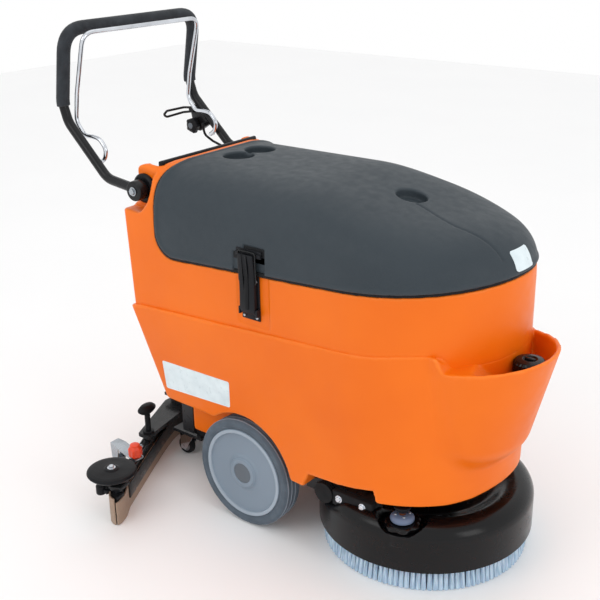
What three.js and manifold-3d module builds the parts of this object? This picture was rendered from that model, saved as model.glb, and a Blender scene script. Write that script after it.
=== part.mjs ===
// Walk-behind wet and dry floor scrubber, in millimetres.
// +X runs forward to the brush end, +Y to the machine's left, +Z up; the floor is z = 0.
// Everything is drawn with x = 0 at the main axle, then moved so that the whole is centred.
import * as THREE from "three";
import { mergeVertices } from "three/addons/utils/BufferGeometryUtils.js";
import Module from "manifold-3d";

const wasm = await Module();
wasm.setup();

// ---- driving dimensions -------------------------------------------------------------------
const GAP = 0.3; // clearance between pieces that touch
const WHEEL = { radius: 127, width: 50, middle: 200, discRadius: 104, boreRadius: 10.3 };
const AXLE = { radius: 10, halfLength: 221 };
const ARCH = { radius: 139, x: 6, z: 130, inner: 160 };
const DECK = { x: 333, radius: 231, rimBottom: 47, rimTop: 108, top: 132, wall: 4 };
const BRUSH = { radius: 222, inner: 120, blockBottom: 56, blockTop: 84 };
const MOTOR = { radius: 60, bottom: 139.5, top: 262, wellRadius: 92 };
const HULL = { edge: 600, crown: 778, noseCrown: 735, wall: 6, centre: 100 };
const LOWER = { crease: 455, floor: 222, wall: 6, columnBottom: 186, well: 144, wellFloor: 147 };
const UPPER = { bottom: 455.6, floorTop: 465, inset: 3, bulkhead: -243 };
const LID = { rear: -235, corner: 50, edge: 588, rise: 62, thickness: 5, gap: 0.5 };
const POCKET = { x: 473, y: -38, lip: 505, wall: 8, floor: 440 };
const FILL = { x: 566, y: -20 };
const LATCH = { x: 40, pivotZ: 523, width: 34, face: -217.2 };
const HANDLE = { pivotX: -295, pivotZ: 719, halfSpan: 202, tube: 11, foam: 15, foamStart: 879 };
const SQUEEGEE = { apex: -437, blunt: 35, slope: 0.55, halfWidth: 388, bodyBottom: 40, bodyTop: 75 };
const CASTOR = { x: -298, y: 75, trail: 26, radius: 23, width: 18 };
const ARM = { pivotX: -240, pivotZ: 152, swivelX: -405 };
const DECK_PIVOT = { x: 165, z: 143 };

// ---- materials ----------------------------------------------------------------------------
function finish(color, roughness, metalness = 0) {
  return { color, roughness, metalness };
}

const FINISHES = {
  orangeTank: finish(0xf07823, 0.45),
  slateLid: finish(0x485058, 0.5),
  blackPlastic: finish(0x16171a, 0.4),
  blackPaint: finish(0x121315, 0.35, 0.3),
  chrome: finish(0xd8dade, 0.12, 1),
  steel: finish(0x9a9da2, 0.35, 1),
  foam: finish(0x3a3f46, 0.95),
  tyre: finish(0x4a535c, 0.8),
  greyPlastic: finish(0x9aa6b2, 0.45),
  bristle: finish(0xa5c3e1, 0.7),
  blockGrey: finish(0x8d99a6, 0.6),
  bladeRubber: finish(0x968272, 0.6),
  redKnob: finish(0xe14623, 0.4),
  blackRubber: finish(0x1c1d1f, 0.8),
  batteryCase: finish(0x2a2c30, 0.6),
  blueGrey: finish(0x7f92a8, 0.55),
};

// ---- solids -------------------------------------------------------------------------------
function solid(geometry) {
  const bare = geometry.clone();
  bare.deleteAttribute("normal");
  bare.deleteAttribute("uv");
  const merged = mergeVertices(bare, 1e-4);
  const made = new wasm.Manifold(
    new wasm.Mesh({
      numProp: 3,
      vertProperties: merged.attributes.position.array,
      triVerts: new Uint32Array(merged.index.array),
    }),
  );
  return made;
}

function join(...solids) {
  return solids.reduce((all, next) => all.add(next));
}

function cut(from, ...tools) {
  return tools.reduce((left, tool) => left.subtract(tool), from);
}

function geometryOf(made) {
  const mesh = made.getMesh();
  const points = new Float32Array(mesh.numVert * 3);
  for (let i = 0; i < mesh.numVert; i += 1) {
    points.set(mesh.vertProperties.subarray(i * mesh.numProp, i * mesh.numProp + 3), i * 3);
  }
  const geometry = new THREE.BufferGeometry();
  geometry.setAttribute("position", new THREE.BufferAttribute(points, 3));
  geometry.setIndex(new THREE.BufferAttribute(new Uint32Array(mesh.triVerts), 1));
  geometry.computeVertexNormals();
  return geometry;
}

function box(x0, x1, y0, y1, z0, z1) {
  const geometry = new THREE.BoxGeometry(x1 - x0, y1 - y0, z1 - z0);
  geometry.translate((x0 + x1) / 2, (y0 + y1) / 2, (z0 + z1) / 2);
  return solid(geometry);
}

// A round bar along one axis, from a to b, with its centre line at the two other coordinates.
function bar(axis, radius, a, b, centre, sides = 16) {
  const geometry = new THREE.CylinderGeometry(radius, radius, b - a, sides);
  const middle = (a + b) / 2;
  if (axis === "x") geometry.rotateZ(-Math.PI / 2).translate(middle, centre[0], centre[1]);
  if (axis === "y") geometry.translate(centre[0], middle, centre[1]);
  if (axis === "z") geometry.rotateX(Math.PI / 2).translate(centre[0], centre[1], middle);
  return solid(geometry);
}

// A turned shape about +Z; profile points are [radius, z].
function turned(profile, x, y, sides = 48) {
  const points = profile.map(([r, z]) => new THREE.Vector2(r, z));
  const geometry = new THREE.LatheGeometry(points, sides);
  geometry.rotateX(Math.PI / 2).translate(x, y, 0);
  return solid(geometry);
}

// An outline in the XZ plane, given as [x, z] points, run across from y0 to y1.
function sidePrism(points, y0, y1) {
  const shape = new THREE.Shape(points.map(([x, z]) => new THREE.Vector2(x, z)));
  const geometry = new THREE.ExtrudeGeometry(shape, { depth: y1 - y0, bevelEnabled: false });
  geometry.rotateX(Math.PI / 2).translate(0, y1, 0);
  return solid(geometry);
}

// An outline in the XY plane, given as [x, y] points, run up from z0 to z1.
function planPrism(points, z0, z1) {
  const shape = new THREE.Shape(points.map(([x, y]) => new THREE.Vector2(x, y)));
  const geometry = new THREE.ExtrudeGeometry(shape, { depth: z1 - z0, bevelEnabled: false });
  return solid(geometry.translate(0, 0, z0));
}

// A skin stretched over rings of the same number of points, closed at both ends.
function loft(rings) {
  const count = rings[0].length;
  const points = rings.flat(2);
  const faces = [];
  for (let k = 0; k + 1 < rings.length; k += 1) {
    for (let i = 0; i < count; i += 1) {
      const a = k * count + i;
      const b = k * count + ((i + 1) % count);
      faces.push(a, b, b + count, a, b + count, a + count);
    }
  }
  const ends = [[rings[0], 0, true], [rings.at(-1), (rings.length - 1) * count, false]];
  for (const [ring, start, down] of ends) {
    const middle = points.length / 3;
    for (const axis of [0, 1, 2]) {
      points.push(ring.reduce((sum, p) => sum + p[axis], 0) / count);
    }
    for (let i = 0; i < count; i += 1) {
      const a = start + i;
      const b = start + ((i + 1) % count);
      faces.push(middle, down ? b : a, down ? a : b);
    }
  }
  const geometry = new THREE.BufferGeometry();
  geometry.setAttribute("position", new THREE.Float32BufferAttribute(points, 3));
  geometry.setIndex(faces);
  return solid(geometry);
}

// A path through points with its corners rounded to the given radius.
function roundedPath(points, radius, arcSteps = 5) {
  const path = [points[0]];
  for (let i = 1; i + 1 < points.length; i += 1) {
    const corner = points[i];
    const back = points[i - 1].clone().sub(corner);
    const ahead = points[i + 1].clone().sub(corner);
    const bend = Math.PI - back.angleTo(ahead);
    const reach = Math.min(radius * Math.tan(bend / 2), back.length() * 0.48, ahead.length() * 0.48);
    const start = corner.clone().add(back.setLength(reach));
    const end = corner.clone().add(ahead.setLength(reach));
    const arc = new THREE.QuadraticBezierCurve3(start, corner, end);
    path.push(...arc.getPoints(arcSteps));
  }
  path.push(points.at(-1));
  return path;
}

class Polyline extends THREE.Curve {
  constructor(points) {
    super();
    this.points = points;
  }
  getPoint(t) {
    const place = t * (this.points.length - 1);
    const i = Math.min(Math.floor(place), this.points.length - 2);
    return this.points[i].clone().lerp(this.points[i + 1], place - i);
  }
  getPointAt(t) {
    return this.getPoint(t);
  }
  getTangentAt(t) {
    const last = this.points.length - 1;
    const i = Math.round(t * last);
    const before = this.points[Math.max(0, i - 1)];
    const after = this.points[Math.min(last, i + 1)];
    return after.clone().sub(before).normalize();
  }
}

// A round tube along a path; a hole radius makes it a sleeve.
function tubeAlong(points, radius, sides = 10, hole = 0) {
  const shape = new THREE.Shape();
  shape.absarc(0, 0, radius, 0, Math.PI * 2);
  if (hole > 0) {
    const inner = new THREE.Path();
    inner.absarc(0, 0, hole, 0, Math.PI * 2, true);
    shape.holes.push(inner);
  }
  const geometry = new THREE.ExtrudeGeometry(shape, {
    extrudePath: new Polyline(points),
    steps: points.length - 1,
    curveSegments: sides / 2, // a full circle takes two points a segment
    bevelEnabled: false,
  });
  return solid(geometry);
}

function vectors(list) {
  return list.map(([x, y, z]) => new THREE.Vector3(x, y, z));
}

function mirrorY(made) {
  return made.mirror([0, 1, 0]);
}

// ---- the body's outline -------------------------------------------------------------------
// Seen from above: a blunt round nose, sides that widen a little forward, round rear corners.
function planOutline({ rear, nose, rearHalf, noseHalf, noseStart, corner }) {
  const outline = [];
  const noseSteps = 16;
  const cornerSteps = 3;
  for (let i = 0; i <= noseSteps; i += 1) {
    const angle = -Math.PI / 2 + (Math.PI * i) / noseSteps;
    outline.push([noseStart + (nose - noseStart) * Math.cos(angle), noseHalf * Math.sin(angle)]);
  }
  for (const side of [1, -1]) {
    for (let i = 0; i <= cornerSteps; i += 1) {
      const angle = (Math.PI / 2) * (side > 0 ? i / cornerSteps : 1 - i / cornerSteps);
      const x = rear + corner - corner * Math.sin(angle);
      outline.push([x, side * (rearHalf - corner + corner * Math.cos(angle))]);
    }
  }
  return outline;
}

function smooth(from, to, value) {
  const t = Math.min(1, Math.max(0, (value - from) / (to - from)));
  return t * t * (3 - 2 * t);
}

// The upper hull shared by the recovery tank and its lid: straight walls under a domed crown.
const CROWN_LEVELS = [0, 0.3, 0.55, 0.74, 0.87, 0.95, 1];
const ROUNDNESS = { side: 4, nose: 5, rear: 9 };

function crownHeight(x, inset) {
  const fall = (HULL.crown - HULL.noseCrown) * smooth(100, 430, x);
  return HULL.crown - fall - inset;
}

function upperRing(rise, inset) {
  const base = planOutline({
    rear: -338 + inset,
    nose: 540 - inset,
    rearHalf: 215 - inset,
    noseHalf: 228 - inset,
    noseStart: 270,
    corner: 12,
  });
  const squeeze = (power) => Math.max(0.16, (1 - rise ** power) ** (1 / power));
  return base.map(([x, y]) => {
    const along = squeeze(x < HULL.centre ? ROUNDNESS.rear : ROUNDNESS.nose);
    const newX = HULL.centre + (x - HULL.centre) * along;
    const z = HULL.edge + (crownHeight(newX, inset) - HULL.edge) * rise;
    return [newX, y * squeeze(ROUNDNESS.side), z];
  });
}

function upperHull(inset, bottom = UPPER.bottom) {
  const foot = upperRing(0, inset).map(([x, y]) => [x, y, bottom]);
  return loft([foot, ...CROWN_LEVELS.map((rise) => upperRing(rise, inset))]);
}

// The lower hull: the rear face leans forward and the sides draw in towards the floor.
function lowerHull(inset, bottom, top) {
  const rings = [0, 1].map((end) => {
    const z = bottom + (top - bottom) * end;
    const share = (z - 170) / (LOWER.crease - 170);
    const outline = planOutline({
      rear: -222 - 116 * share + inset,
      nose: 526 + 12 * share - inset,
      rearHalf: 205 + 14 * share - inset,
      noseHalf: 240 - 10 * share - inset,
      noseStart: 270,
      corner: 12,
    });
    return outline.map(([x, y]) => [x, y, z]);
  });
  return loft(rings);
}

// Everything above the lid's lower edge, which curls up at the rear and rises to the nose.
function aboveLidEdge(shift = 0) {
  const { rear, corner, edge, rise } = LID;
  const top = 900;
  const points = [[rear + shift, top]];
  const steps = 6;
  for (let i = 0; i <= steps; i += 1) {
    const angle = (Math.PI / 2) * (i / steps);
    const x = rear + corner - (corner - shift) * Math.cos(angle);
    points.push([x, edge + corner - (corner - shift) * Math.sin(angle)]);
  }
  for (let x = -100; x <= 620; x += 80) {
    const t = Math.min(1, (x - rear - corner) / 725);
    points.push([x, edge + shift + rise * (0.8 * t + 0.2 * t ** 8)]);
  }
  points.push([620, top]);
  return sidePrism(points, -320, 320);
}

// ---- tanks and lid ------------------------------------------------------------------------
function pocketRing(z, inset) {
  const share = (z - 250) / (POCKET.lip - 250);
  const reach = 82 + 66 * share - inset;
  const half = 108 + 38 * share - inset;
  const steps = 20;
  return Array.from({ length: steps }, (_, i) => {
    const angle = (2 * Math.PI * i) / steps;
    return [POCKET.x + reach * Math.cos(angle), POCKET.y + half * Math.sin(angle), z];
  });
}

function pocketLoft(inset, bottom, top) {
  const levels = [0, 0.33, 0.67, 1].map((share) => bottom + (top - bottom) * share);
  return loft(levels.map((z) => pocketRing(z, inset)));
}

function wheelArches() {
  const { radius, x, z, inner } = ARCH;
  const left = bar("y", radius, inner, 320, [x, z], 32);
  return join(left, mirrorY(left));
}

function solutionTank() {
  const { crease, floor, wall, columnBottom, well, wellFloor } = LOWER;
  const shell = lowerHull(0, columnBottom - 40, crease);
  const underside = sidePrism(
    [[-400, 90], [-400, 240], [-30, 240], [120, 162], [174, 162], [192, 196],
     [350, 212], [352, columnBottom], [620, columnBottom], [620, 90]],
    -320, 320,
  );
  const belly = box(-222, 78, -well - wall, well + wall, 131, 260);
  const outer = join(shell.subtract(underside), belly, pocketLoft(0, 250, POCKET.lip));
  const upperSeat = upperHull(UPPER.inset - 0.4, crease + GAP - 0.2);
  const batteryBay = join(
    lowerHull(wall, 276, crease + 40).intersect(box(-400, 72, -300, 300, 270, 600)),
    box(-216, 72, -well, well, wellFloor, 300),
  );
  const water = lowerHull(wall, floor + wall, crease + 40).intersect(box(78, 700, -300, 300, 0, 600));
  const skirt = lowerHull(wall, 100, floor).intersect(box(151, 700, -300, 300, 0, 600));
  const [motorX, towerTop] = [DECK.x, 312];
  const tower = bar("z", MOTOR.wellRadius + wall, floor, towerTop + wall, [motorX, 0], 24);
  const towerHole = bar("z", MOTOR.wellRadius, floor - 60, towerTop, [motorX, 0], 24);
  const pocketHole = pocketLoft(POCKET.wall, POCKET.floor, POCKET.lip + 30);
  const pocketWall = lowerHull(0, POCKET.floor - 12, crease).intersect(pocketLoft(0, 428, crease + 1));
  const armSpace = box(78.5, 190, -146, 146, 100, floor);
  const axleGroove = box(-15, 15, -300, 300, 100, 142);
  const pocketWater = pocketLoft(POCKET.wall, 262, POCKET.floor - 12).intersect(box(430, 700, -300, 300, 0, 600));
  const fillHole = bar("z", 11.4, POCKET.floor - 20, POCKET.floor + 5, [FILL.x, FILL.y], 20);
  const hollowed = cut(outer, batteryBay, water, skirt, armSpace, axleGroove, wheelArches(), pocketWater);
  return cut(join(hollowed, tower, pocketWall), towerHole, pocketHole, upperSeat, fillHole);
}

function recoveryTank() {
  const { bottom, floorTop, inset, bulkhead } = UPPER;
  const outer = upperHull(inset).subtract(aboveLidEdge(-LID.gap));
  const inner = upperHull(inset + HULL.wall, floorTop);
  const mainBay = inner.intersect(box(bulkhead + HULL.wall, 700, -300, 300, 0, 900));
  const behind = join(box(-400, bulkhead, -170, 170, 0, 736), box(-400, bulkhead, -300, 300, 0, 658));
  const rearBay = inner.intersect(behind);
  const hatch = box(-308, -256, -150, 150, 700, 900);
  const panelSeat = box(-322, -246, -160, 160, 741.7, 900);
  const notch = box(-400, -257, 177, 300, 666, 900);
  const latchSeat = box(LATCH.x - 37, LATCH.x + 49, -300, LATCH.face, 490, 700);
  const shaftHoles = bar("y", 6.3, -300, 300, [HANDLE.pivotX, HANDLE.pivotZ], 16);
  const made = cut(outer, mainBay, rearBay, hatch, panelSeat, notch, mirrorY(notch), latchSeat);
  return cut(made, shaftHoles, box(-400, 700, -300, 300, 0, bottom));
}

function lid() {
  const outer = upperHull(0).intersect(aboveLidEdge(LID.gap));
  const inner = upperHull(LID.thickness, 500);
  const catchNotch = box(LATCH.x - 35, LATCH.x + 45, -300, LATCH.face - 3.2, 500, 657);
  return cut(outer, inner, catchNotch);
}

function lidGasket() {
  const ring = upperHull(LID.thickness + GAP).subtract(upperHull(10, 500));
  const band = aboveLidEdge(LID.gap).subtract(aboveLidEdge(9));
  return ring.intersect(band).intersect(box(-225, 700, -300, 300, 500, 800));
}

// ---- latch and hinge ----------------------------------------------------------------------
function latchBase() {
  const { x, pivotZ, face, width } = LATCH;
  const plate = box(x - 24, x + 24, face - 3.5, face - GAP, pivotZ - 20, pivotZ + 76);
  const lug = box(x - width / 2 - 5, x - width / 2 - 0.5, face - 14, face - 3, pivotZ - 8, pivotZ + 8);
  const pin = bar("x", 2.5, x - width / 2 - 4, x + width / 2 + 4, [face - 9, pivotZ], 12);
  const farLug = lug.translate([width + 5.5, 0, 0]);
  return join(plate, lug, farLug, pin);
}

function latchLever() {
  const { x, pivotZ, face, width } = LATCH;
  const shape = [
    [face - 5.5, pivotZ - 3], [face - 4.5, pivotZ + 60], [face - 11, pivotZ + 110],
    [face - 13, pivotZ + 124], [face - 19, pivotZ + 124], [face - 15, pivotZ + 88],
    [face - 15, pivotZ + 6], [face - 12, pivotZ - 5],
  ];
  const profile = new THREE.Shape(shape.map(([y, z]) => new THREE.Vector2(y, z)));
  const depth = { depth: width, bevelEnabled: false };
  const geometry = new THREE.ExtrudeGeometry(profile, depth);
  const turn = new THREE.Matrix4().makeBasis(
    new THREE.Vector3(0, 1, 0), new THREE.Vector3(0, 0, 1), new THREE.Vector3(1, 0, 0),
  );
  geometry.applyMatrix4(turn).translate(x - width / 2, 0, 0);
  const slot = bar("x", 2.8, x - width, x + width, [face - 9, pivotZ], 12);
  const wireHole = bar("x", 2.6, x - width, x + width, [face - 10.5, pivotZ + 62], 12);
  return cut(solid(geometry), slot, wireHole);
}

function latchWire() {
  const { x, width, face, pivotZ } = LATCH;
  const out = width / 2 + 4;
  const [low, high] = [pivotZ + 62, pivotZ + 129];
  const route = vectors([
    [x, face - 10.5, low], [x + out, face - 10.5, low], [x + out, face - 12, high],
    [x - out, face - 12, high], [x - out, face - 10.5, low], [x - 6, face - 10.5, low],
  ]);
  return tubeAlong(roundedPath(route, 5, 3), 2, 8);
}

function lidCatch() {
  const { x, face, pivotZ } = LATCH;
  const [back, foot] = [face - 3.5, pivotZ + 117];
  const plate = box(x - 32, x + 34, back - 3, back, foot, foot + 15);
  const strap = box(x - 32, x + 34, back - 6, back - 2.8, foot + 1, foot + 9);
  return join(plate, strap);
}

const HINGE = { y: 231.3, z: 621, x: 40 };

function lidHinge() {
  const { x, y, z } = HINGE;
  const tankLeaf = box(x - 90, x + 90, y - 8.9, y - 5.4, z - 50, z - 24);
  const barrels = [-70, 0, 70].map((at) => bar("x", 5, x + at - 14, x + at + 14, [y, z], 14));
  const webs = [-70, 0, 70].map((at) => box(x + at - 14, x + at + 14, y - 6, y, z - 26, z - 2));
  return cut(join(tankLeaf, ...barrels, ...webs), bar("x", 2.2, -100, 200, [y, z], 10));
}

function hingePin() {
  const { x, y, z } = HINGE;
  const pin = bar("x", 2, x - 92, x + 92, [y, z], 10);
  const knuckles = [-35, 35].map((at) => bar("x", 5, x + at - 19, x + at + 19, [y, z], 14));
  const leaf = [-35, 35].map((at) => box(x + at - 19, x + at + 19, y - 6, y, z, z + 6));
  const plate = box(x - 54, x + 54, y - 6, y - 3, z + 5.5, z + 34);
  return join(pin, ...knuckles, ...leaf, plate);
}

// ---- rear: control panel, battery, vacuum -------------------------------------------------
const SWITCH = { x: -284, z: 750.5, halfLength: 14, halfWidth: 9, y: [42, 84] };

function dashboardPanel() {
  const { x, halfLength, halfWidth, y } = SWITCH;
  const plate = box(-321.5, -246.5, -159.5, 159.5, 742, 750);
  const body = box(-305, -259, -147, 147, 706, 742.5);
  const windows = y.map((at) =>
    box(x - halfLength - 0.5, x + halfLength + 0.5, at - halfWidth - 0.5, at + halfWidth + 0.5, 728, 760),
  );
  return cut(join(plate, body), ...windows, bar("z", 26.3, 744, 760, [x, -70], 24));
}

function rockerSwitch(y) {
  const { x, halfLength, halfWidth } = SWITCH;
  const outline = [
    [x - halfLength + 1, 751.5], [x - halfLength + 3, 738], [x, 733], [x + halfLength - 3, 738],
    [x + halfLength - 1, 756], [x, 751],
  ];
  return sidePrism(outline, y - halfWidth, y + halfWidth);
}

function battery(side) {
  const [near, far] = side > 0 ? [2, 143] : [-143, -2];
  const middle = (near + far) / 2;
  const block = box(-206, 66, near, far, LOWER.wellFloor + GAP, 345);
  const cover = box(-200, 60, near + 5, far - 5, 344, 352);
  const posts = [-180, 40].map((x) => bar("z", 8, 351, 364, [x, middle + side * 36], 12));
  return join(block, cover, ...posts);
}

function vacuumMotor() {
  const floor = UPPER.floorTop + GAP;
  return turned(
    [[0, floor], [38, floor], [38, 492], [36, 496], [36, 566], [30, 572], [14, 574], [14, 596], [0, 596]],
    -285, 0, 20,
  );
}

function floatCage() {
  const [x, y, floor] = [-150, 40, UPPER.floorTop + GAP];
  const pipe = bar("z", 22, floor, 640, [x, y], 16);
  const basket = turned([[0, 638], [36, 638], [36, 706], [30, 716], [0, 716]], x, y, 16);
  const slots = [0, 1, 2].map((i) =>
    box(-40, 40, -5, 5, 650, 700).rotate([0, 0, 60 * i]).translate([x, y, 0]),
  );
  return join(pipe, basket.subtract(join(...slots)), bar("z", 14, 640, 710, [x, y], 16));
}

function fillCap() {
  const { x, y } = FILL;
  const seat = POCKET.floor + GAP;
  const lobes = [0, 1, 2, 3, 4, 5].map((i) => {
    const angle = (Math.PI / 3) * i;
    return bar("z", 4, seat + 14, seat + 26, [x + 12 * Math.cos(angle), y + 12 * Math.sin(angle)], 8);
  });
  const cap = turned(
    [[0, seat - 10], [11, seat - 10], [11, seat], [16, seat], [16, seat + 12], [13, seat + 14],
     [13, seat + 26], [0, seat + 26]],
    x, y, 20,
  );
  return join(cap, ...lobes);
}

// ---- chassis and main wheels --------------------------------------------------------------
function chassisFrame() {
  const rail = box(-236, 104, 112, 140, 114, 130.5);
  const rearPlate = box(-258, -222.5, -148, 148, 118, 200);
  const crossMember = box(-236, -200, -140, 140, 114, 130.5);
  const castorPlate = box(-332, -236, -112, 112, 76, 84);
  const castorDrop = box(-250, -238, -112, 112, 76, 125);
  const bearing = box(-24, 24, 112, 156, 108, 130.5);
  const frontEar = join(box(82, 104, 118, 142, 114, 163), box(84, 180, 118, 142, 138, 163));
  const clevis = box(-262, -225, 36, 46, 132, 172);
  const half = join(rail, bearing, frontEar);
  const made = join(
    half, mirrorY(half), rearPlate, crossMember, castorPlate, castorDrop,
    clevis, mirrorY(clevis), box(80, 88, -140, 140, 136, 163),
  );
  const armWindow = box(-300, -222, -36, 36, 90, 260);
  const stems = [1, -1].map((side) => bar("z", 6.3, 60, 100, [CASTOR.x, side * CASTOR.y], 16));
  return cut(
    made,
    armWindow,
    ...stems,
    bar("y", AXLE.radius + 0.3, -200, 200, [0, WHEEL.radius], 24),
    bar("y", 5.3, -80, 80, [ARM.pivotX, ARM.pivotZ], 16),
    bar("y", 6.3, -200, 200, [DECK_PIVOT.x, DECK_PIVOT.z], 16),
  );
}

function axle() {
  return bar("y", AXLE.radius, -AXLE.halfLength, AXLE.halfLength, [0, WHEEL.radius], 24);
}

// A turned shape about the wheel's own axle line, at the left side unless mirrored.
function wheelTurned(profile, sides) {
  return turned(profile, 0, 0, sides).rotate([-90, 0, 0]).translate([0, 0, WHEEL.radius]);
}

function tyre() {
  const { radius, width, middle, discRadius } = WHEEL;
  const [inner, outer] = [middle - width / 2, middle + width / 2];
  const groove = 4;
  const profile = [[discRadius + GAP, inner + 3], [radius - 4, inner], [radius - 0.8, inner + 3]];
  for (const at of [-7, 7]) {
    profile.push([radius, middle + at - 3], [radius - groove, middle + at - 1.5]);
    profile.push([radius - groove, middle + at + 1.5], [radius, middle + at + 3]);
  }
  profile.push([radius - 0.8, outer - 3], [radius - 4, outer], [discRadius + GAP, outer - 3]);
  profile.push(profile[0]);
  return wheelTurned(profile, 32);
}

function wheelDisc() {
  const { middle, width, discRadius, boreRadius } = WHEEL;
  const [inner, outer] = [middle - width / 2, middle + width / 2];
  return wheelTurned(
    [[boreRadius, inner + 2], [30, inner + 2], [34, inner + 12], [86, inner + 14], [92, inner + 3],
     [discRadius, inner + 3], [discRadius, outer - 3], [94, outer - 8], [34, outer - 9],
     [30, outer - 2], [boreRadius, outer - 2], [boreRadius, inner + 2]],
    32,
  );
}

// ---- small rear castors -------------------------------------------------------------------
function forkAround({ x, y, trail, radius, width }, top, stemTop) {
  const cheek = width / 2 + 2;
  const wheelX = x - trail;
  const crown = box(wheelX - 12, x + 15, y - cheek - 3, y + cheek + 3, top - 5, top);
  const outline = [[wheelX - 9, radius - 8], [wheelX + 9, radius - 8], [x + 12, top - 4], [wheelX - 10, top - 4]];
  const side = sidePrism(outline, y + cheek, y + cheek + 3);
  const otherSide = sidePrism(outline, y - cheek - 3, y - cheek);
  const stem = bar("z", 6, top - 1, stemTop, [x, y], 16);
  const pin = bar("y", 3, y - cheek - 4, y + cheek + 4, [wheelX, radius], 12);
  return join(crown, side, otherSide, stem, pin);
}

function smallWheel({ x, y, trail, radius, width }) {
  const half = width / 2;
  const profile = [
    [3.3, -half], [radius - 3, -half], [radius, -half + 3], [radius, half - 3], [radius - 3, half],
    [3.3, half], [3.3, -half],
  ];
  return turned(profile, 0, 0, 20).rotate([-90, 0, 0]).translate([x - trail, y, radius]);
}

function rearCastor(side) {
  return { ...CASTOR, y: side * CASTOR.y };
}

// ---- handle -------------------------------------------------------------------------------
// One leg's centre line in its own plane, from the pivot up to the top corner, as [x, z].
const LEG = [[-311, 722], [-391, 731], [-508, 843], [-522, 885], [-493, 1048]];

function handlePath() {
  const right = LEG.map(([x, z]) => [x, -HANDLE.halfSpan, z]);
  const left = LEG.map(([x, z]) => [x, HANDLE.halfSpan, z]).reverse();
  return roundedPath(vectors([...right, ...left]), 52, 4);
}

function handleTube() {
  const { pivotX, pivotZ, halfSpan, tube } = HANDLE;
  const eye = (side) => bar("y", 23, side * halfSpan - 13.5, side * halfSpan + 13.5, [pivotX, pivotZ], 24);
  const holes = bar("y", 6.3, -300, 300, [pivotX, pivotZ], 16);
  const bracket = sidePrism(
    [[-441, 785], [-479, 824], [-517, 820], [-517, 802], [-507, 756], [-487, 756]], 196, 208,
  );
  return join(tubeAlong(handlePath(), tube, 10), eye(1), eye(-1), bracket).subtract(holes);
}

function foamGrip() {
  const points = handlePath().filter((p) => p.z >= HANDLE.foamStart);
  return tubeAlong(points, HANDLE.foam, 12, HANDLE.tube + 2 * GAP);
}

function handleSeat(side) {
  const { pivotX, pivotZ } = HANDLE;
  const disc = bar("y", 33, 177.4, 187.6, [pivotX, pivotZ], 32);
  const made = disc.subtract(bar("y", 6.3, 100, 300, [pivotX, pivotZ], 16));
  const trimmed = made.intersect(box(-400, -257.5, 100, 300, 600, 900));
  return side > 0 ? trimmed : mirrorY(trimmed);
}

function handleBolt(side) {
  const { pivotX, pivotZ } = HANDLE;
  const shank = bar("y", 6, 150, 218, [pivotX, pivotZ], 16);
  const head = bar("y", 11, 215.9, 224, [pivotX, pivotZ], 6);
  const nut = bar("y", 10, 158, 167.4, [pivotX, pivotZ], 6);
  const made = join(shank, head, nut);
  return side > 0 ? made : mirrorY(made);
}

// The chrome bail in front of the grip, with a small S in each leg above its pivot.
const BAIL = { halfSpan: 180, radius: 5, pivotX: -435, pivotZ: 757 };
const BAIL_LEG = [
  [-435, 757], [-419, 768], [-414, 790], [-433, 811], [-457, 813], [-483, 812], [-508, 842],
  [-497, 905], [-458, 1040],
];

function bail() {
  const right = BAIL_LEG.map(([x, z]) => [x, -BAIL.halfSpan, z]);
  const left = BAIL_LEG.map(([x, z]) => [x, BAIL.halfSpan, z]).reverse();
  const wire = tubeAlong(roundedPath(vectors([...right, ...left]), 30, 3), BAIL.radius, 8);
  const { pivotX, pivotZ } = BAIL;
  const stub = bar("y", BAIL.radius, BAIL.halfSpan - 2, 190.7, [pivotX, pivotZ], 12);
  return join(wire, stub, mirrorY(stub));
}

const LIFT_LEVER = { x: -506, y: 196, z: 810 };

function liftLever() {
  const { x, y, z } = LIFT_LEVER;
  const hub = bar("y", 8, y - 10, y - GAP, [x, z], 16);
  const loop = vectors([
    [x, y - 6, z + 5], [x - 26, y - 9, z + 3], [x - 50, y - 46, z - 3], [x - 54, y - 54, z - 12],
    [x - 50, y - 48, z - 18], [x - 26, y - 12, z - 9], [x, y - 6, z - 5],
  ]);
  return join(hub, tubeAlong(roundedPath(loop, 8, 2), 3, 8));
}

function starKnob() {
  const [x, y, z] = [-497, 196, 772];
  const hub = bar("y", 15, y - 24, y - 6, [x, z], 20);
  const stem = bar("y", 5, y - 8, y - GAP, [x, z], 12);
  const lobes = [0, 1, 2, 3, 4].map((i) => {
    const angle = (2 * Math.PI * i) / 5;
    return bar("y", 6, y - 22, y - 8, [x + 15 * Math.cos(angle), z + 15 * Math.sin(angle)], 12);
  });
  return join(hub, stem, ...lobes);
}

function liftCable() {
  const route = vectors([
    [-464, 184, 776], [-460, 184, 752], [-432, 184, 739], [-392, 184, 728], [-345, 184, 725],
  ]);
  const upperClamp = bar("y", 5, 182, 195.7, [-464, 776], 12);
  const lowerClamp = bar("y", 5, 182, 190.7, [-345, 725], 12);
  return join(tubeAlong(roundedPath(route, 20, 3), 3, 8), upperClamp, lowerClamp);
}

// ---- squeegee -----------------------------------------------------------------------------
// The squeegee's plan line: a shallow V with a blunt apex. Offsets run forward of the rear blade.
function squeegeeLine(y) {
  const { apex, blunt, slope } = SQUEEGEE;
  return apex + Math.sqrt(blunt ** 2 + (slope * y) ** 2) - blunt;
}

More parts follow.
